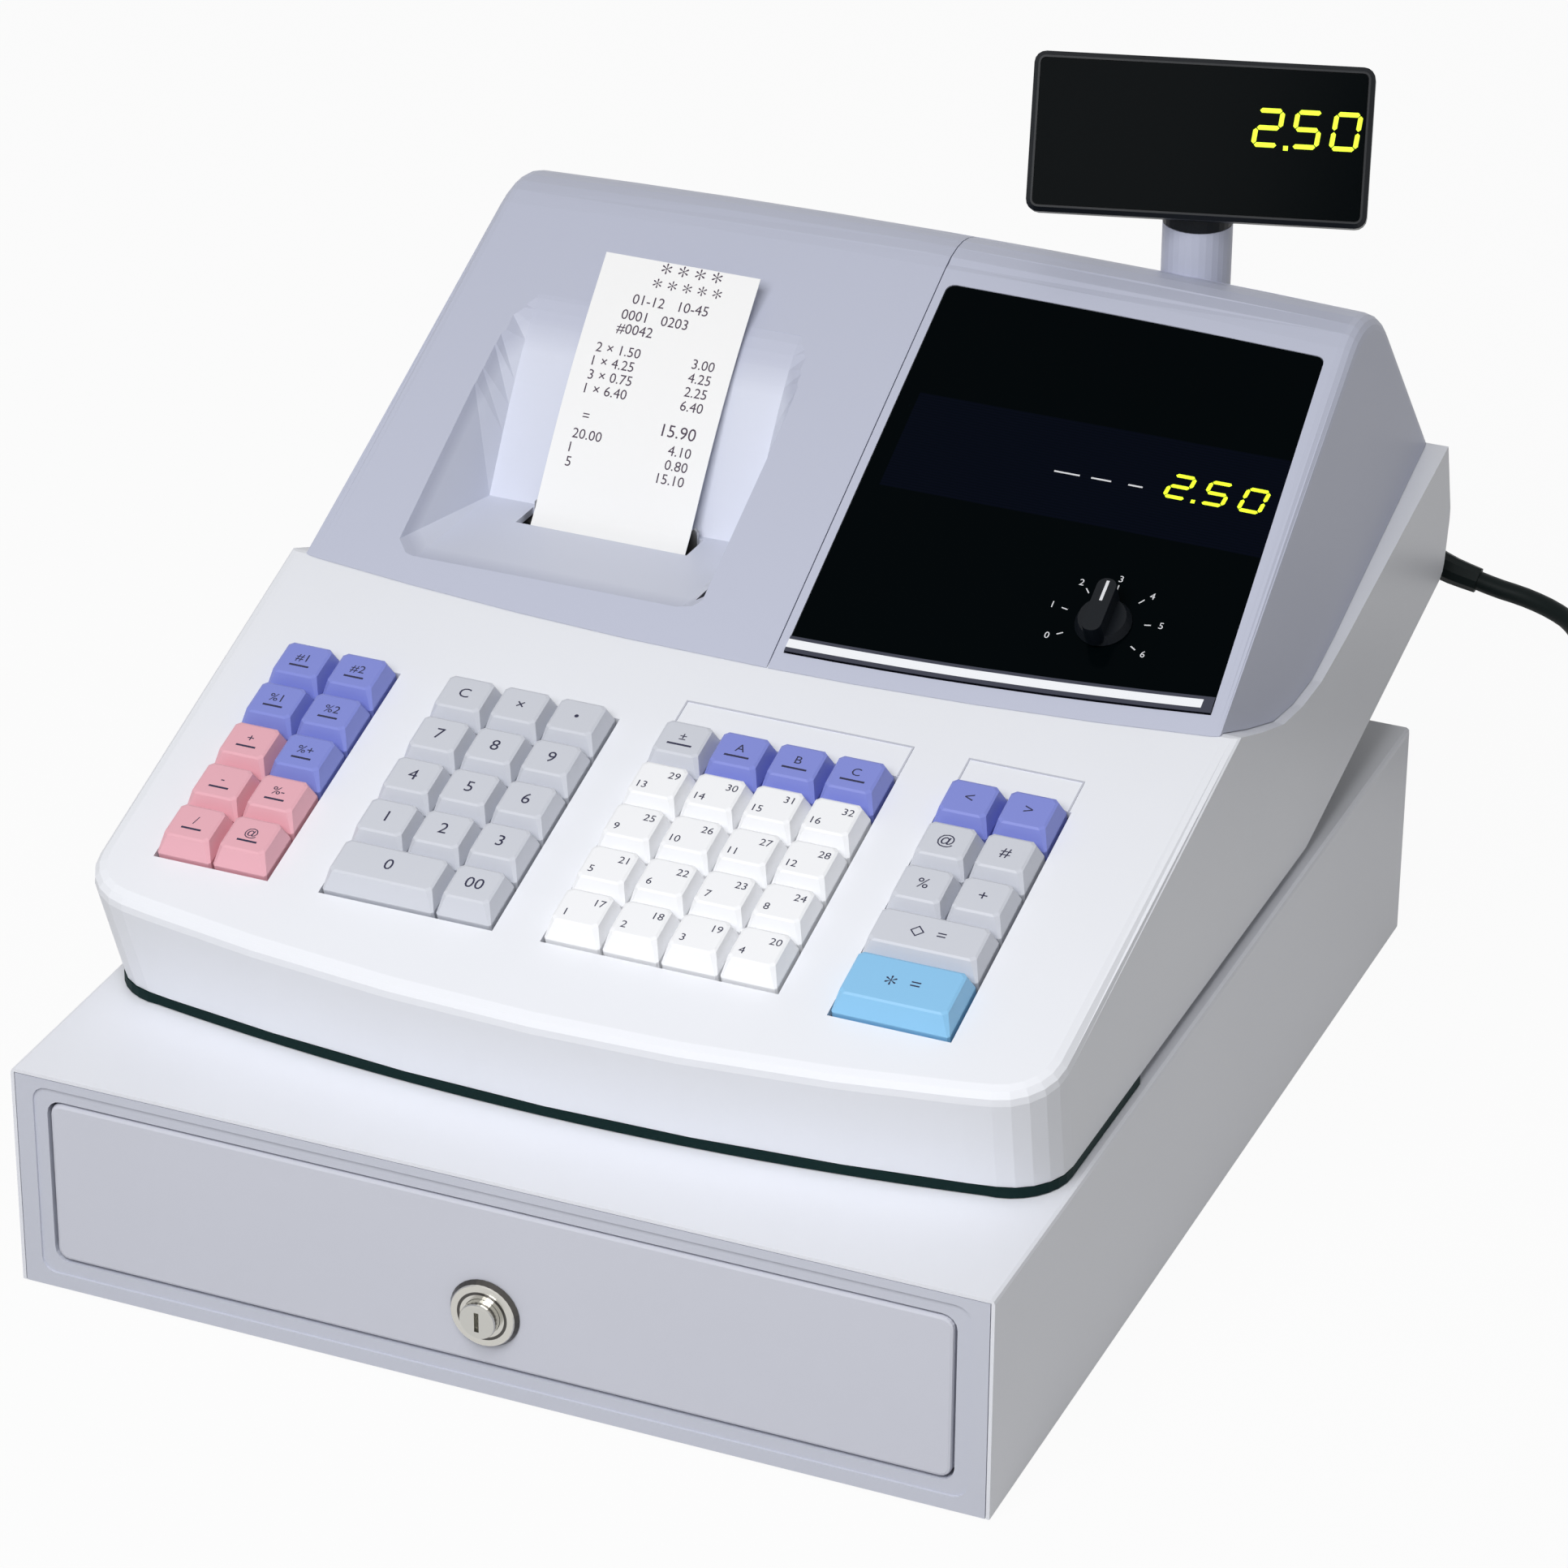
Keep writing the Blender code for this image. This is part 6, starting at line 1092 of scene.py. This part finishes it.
def screw_head():
    """A pan head with a cross slot, its flat side on the ground plane."""
    bm = bmesh.new()
    angles = [2 * pi * step / HEAD_STEPS for step in range(HEAD_STEPS)]
    rows = []
    for radius_share, height_share in HEAD_SHARES:
        radius, height = HEAD_RADIUS * radius_share, HEAD_HEIGHT * height_share
        rows.append([bm.verts.new((radius * cos(angle), radius * sin(angle), height)) for angle in angles])
    for lower, higher in zip(rows, rows[1:]):
        for i in range(HEAD_STEPS):
            j = (i + 1) % HEAD_STEPS
            bm.faces.new((lower[i], higher[i], higher[j], lower[j]))
    bm.faces.new(rows[0])
    bm.faces.new(rows[-1][::-1])
    bmesh.ops.recalc_face_normals(bm, faces=bm.faces)
    mesh = bpy.data.meshes.new("screw_head")
    bm.to_mesh(mesh)
    bm.free()
    head = bpy.data.objects.new("screw_head", mesh)
    bpy.context.scene.collection.objects.link(head)
    for turn in (0, pi / 2):
        bm = bmesh.new()
        size = Matrix.Diagonal((HEAD_RADIUS * 1.2, HEAD_RADIUS * 0.24, HEAD_HEIGHT, 1))
        place = Matrix.Translation((0, 0, HEAD_HEIGHT)) @ Matrix.Rotation(turn, 4, "Z") @ size
        bmesh.ops.create_cube(bm, size=1, matrix=place)
        cutter_mesh = bpy.data.meshes.new("slot")
        bm.to_mesh(cutter_mesh)
        bm.free()
        cutter = bpy.data.objects.new("slot", cutter_mesh)
        bpy.context.scene.collection.objects.link(cutter)
        carve = head.modifiers.new("slot", "BOOLEAN")
        carve.object = cutter
        carve.solver = "EXACT"
        carved = bpy.data.meshes.new_from_object(head.evaluated_get(bpy.context.evaluated_depsgraph_get()))
        head.modifiers.clear()
        head.data = carved
        bpy.data.objects.remove(cutter, do_unlink=True)
    return head


print("screw head", 2 * HEAD_RADIUS, "m across")

# %% Screws on their points


def screw_tree(head, material):
    tree = bpy.data.node_groups.new("screws_on_points", "GeometryNodeTree")
    tree.interface.new_socket(name="Points", in_out="INPUT", socket_type="NodeSocketGeometry")
    size = tree.interface.new_socket(name="Size", in_out="INPUT", socket_type="NodeSocketFloat")
    size.default_value = 1.0
    tree.interface.new_socket(name="Screws", in_out="OUTPUT", socket_type="NodeSocketGeometry")
    start = tree.nodes.new("NodeGroupInput")
    end = tree.nodes.new("NodeGroupOutput")
    source = tree.nodes.new("GeometryNodeObjectInfo")
    source.inputs["Object"].default_value = head
    facing = tree.nodes.new("GeometryNodeInputNamedAttribute")
    facing.data_type = "FLOAT_VECTOR"
    facing.inputs["Name"].default_value = "facing"
    turned = tree.nodes.new("FunctionNodeAlignRotationToVector")
    turned.axis = "Z"
    put = tree.nodes.new("GeometryNodeInstanceOnPoints")
    real = tree.nodes.new("GeometryNodeRealizeInstances")
    paint = tree.nodes.new("GeometryNodeSetMaterial")
    paint.inputs["Material"].default_value = material
    tree.links.new(start.outputs["Points"], put.inputs["Points"])
    tree.links.new(source.outputs["Geometry"], put.inputs["Instance"])
    tree.links.new(facing.outputs["Attribute"], turned.inputs["Vector"])
    tree.links.new(turned.outputs["Rotation"], put.inputs["Rotation"])
    tree.links.new(start.outputs["Size"], put.inputs["Scale"])
    tree.links.new(put.outputs["Instances"], real.inputs["Geometry"])
    tree.links.new(real.outputs["Geometry"], paint.inputs["Geometry"])
    tree.links.new(paint.outputs["Geometry"], end.inputs["Screws"])
    return tree, size.identifier


def screws(name, places, body, material):
    """Screws at places, each a point and the way its head faces, as one piece on a body."""
    points = bpy.data.meshes.new(name)
    points.from_pydata([place for place, facing in places], [], [])
    facings = points.attributes.new("facing", "FLOAT_VECTOR", "POINT")
    for entry, (place, facing) in zip(facings.data, places):
        entry.vector = facing
    carrier = bpy.data.objects.new(name, points)
    bpy.context.scene.collection.objects.link(carrier)
    head = screw_head()
    modifier = carrier.modifiers.new("screws", "NODES")
    tree, size_input = screw_tree(head, material)
    modifier.node_group = tree
    modifier[size_input] = 1.0
    mesh = bpy.data.meshes.new_from_object(carrier.evaluated_get(bpy.context.evaluated_depsgraph_get()))
    carrier.modifiers.clear()
    carrier.data = mesh
    bpy.data.objects.remove(head, do_unlink=True)
    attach(carrier, body)
    print(name, "vertices", len(mesh.vertices))


BACK_Y = 0.200 - 0.015306
SCREW_X = (-0.150, 0.0, 0.150)
SCREW_Z = (0.014, 0.068)
places = [((x, BACK_Y, z), (0, 1, 0)) for x in SCREW_X for z in SCREW_Z]
screws("cabinet_screws", places, "register", FINISHES["drawer_steel"])

# %% [markdown]
# ## The studio
# The picture was taken on plain white, with soft light from above and the front that falls off to the
# back. The floor is white paper, one area lamp near the camera does the modelling, and an even world
# fills the shadows. For camera, mirror and glass rays the floor and the world are pure white, so the
# background stays white without any more light on the object.

# %% Floor and world
FILL = 0.26
FLOOR = 1.2
FLOOR_Z = -0.0002
FLOOR_GREY = 0.52
FLOOR_GLOW = 0.95


def seen_rays(tree):
    """1 for camera, mirror and glass rays, and 0 for the rays that light the object."""
    rays = tree.nodes.new("ShaderNodeLightPath")
    seen = math_node(tree, "ADD", rays.outputs["Is Camera Ray"], rays.outputs["Is Glossy Ray"])
    seen = math_node(tree, "ADD", seen, rays.outputs["Is Transmission Ray"])
    return math_node(tree, "MINIMUM", seen, 1.0)


world = bpy.data.worlds.new("studio")
bpy.context.scene.world = world
world.use_nodes = True
tree = world.node_tree
sky = tree.nodes["Background"]
sky.inputs["Color"].default_value = (1, 1, 1, 1)
strength = math_node(tree, "MULTIPLY_ADD", seen_rays(tree), 1.0 - FILL, FILL)
tree.links.new(strength, sky.inputs["Strength"])

floor_mesh = bpy.data.meshes.new("floor")
flat_corners = ((-FLOOR, -FLOOR), (FLOOR, -FLOOR), (FLOOR, FLOOR), (-FLOOR, FLOOR))
floor_mesh.from_pydata([(x, y, FLOOR_Z) for x, y in flat_corners], [], [(0, 1, 2, 3)])
floor = bpy.data.objects.new("floor", floor_mesh)
bpy.context.scene.collection.objects.link(floor)
paper_floor = bpy.data.materials.new("paper_floor")
paper_floor.use_nodes = True
tree = paper_floor.node_tree
shader = tree.nodes["Principled BSDF"]
shader.inputs["Base Color"].default_value = (FLOOR_GREY, FLOOR_GREY, FLOOR_GREY, 1)
shader.inputs["Roughness"].default_value = 0.9
glow = tree.nodes.new("ShaderNodeEmission")
glow.inputs["Color"].default_value = (1, 1, 1, 1)
blend = tree.nodes.new("ShaderNodeMixShader")
tree.links.new(math_node(tree, "MULTIPLY", seen_rays(tree), FLOOR_GLOW), blend.inputs["Fac"])
tree.links.new(shader.outputs["BSDF"], blend.inputs[1])
tree.links.new(glow.outputs["Emission"], blend.inputs[2])
tree.links.new(blend.outputs["Shader"], tree.nodes["Material Output"].inputs["Surface"])
floor_mesh.materials.append(paper_floor)
print("floor", 2 * FLOOR, "m wide")

# %% Lamp
LAMP_PLACE = Vector((0.05, -1.08, 1.18))
LAMP_AIM = Vector((0, -0.05, 0.12))
LAMP_SIZE = 0.8
LAMP_POWER = 16.9


def lamp(name, place, aim, size, power):
    light = bpy.data.lights.new(name, "AREA")
    light.shape = "SQUARE"
    light.size = size
    light.energy = power
    holder = bpy.data.objects.new(name, light)
    turned = (aim - place).to_track_quat("-Z", "Y").to_matrix().to_4x4()
    holder.matrix_world = Matrix.Translation(place) @ turned
    bpy.context.scene.collection.objects.link(holder)
    holder.visible_camera = False


lamp("key_lamp", LAMP_PLACE, LAMP_AIM, LAMP_SIZE, LAMP_POWER)
print("lamp", round((LAMP_AIM - LAMP_PLACE).length, 2), "m away")
view = bpy.context.scene.view_settings
view.view_transform = "Standard"
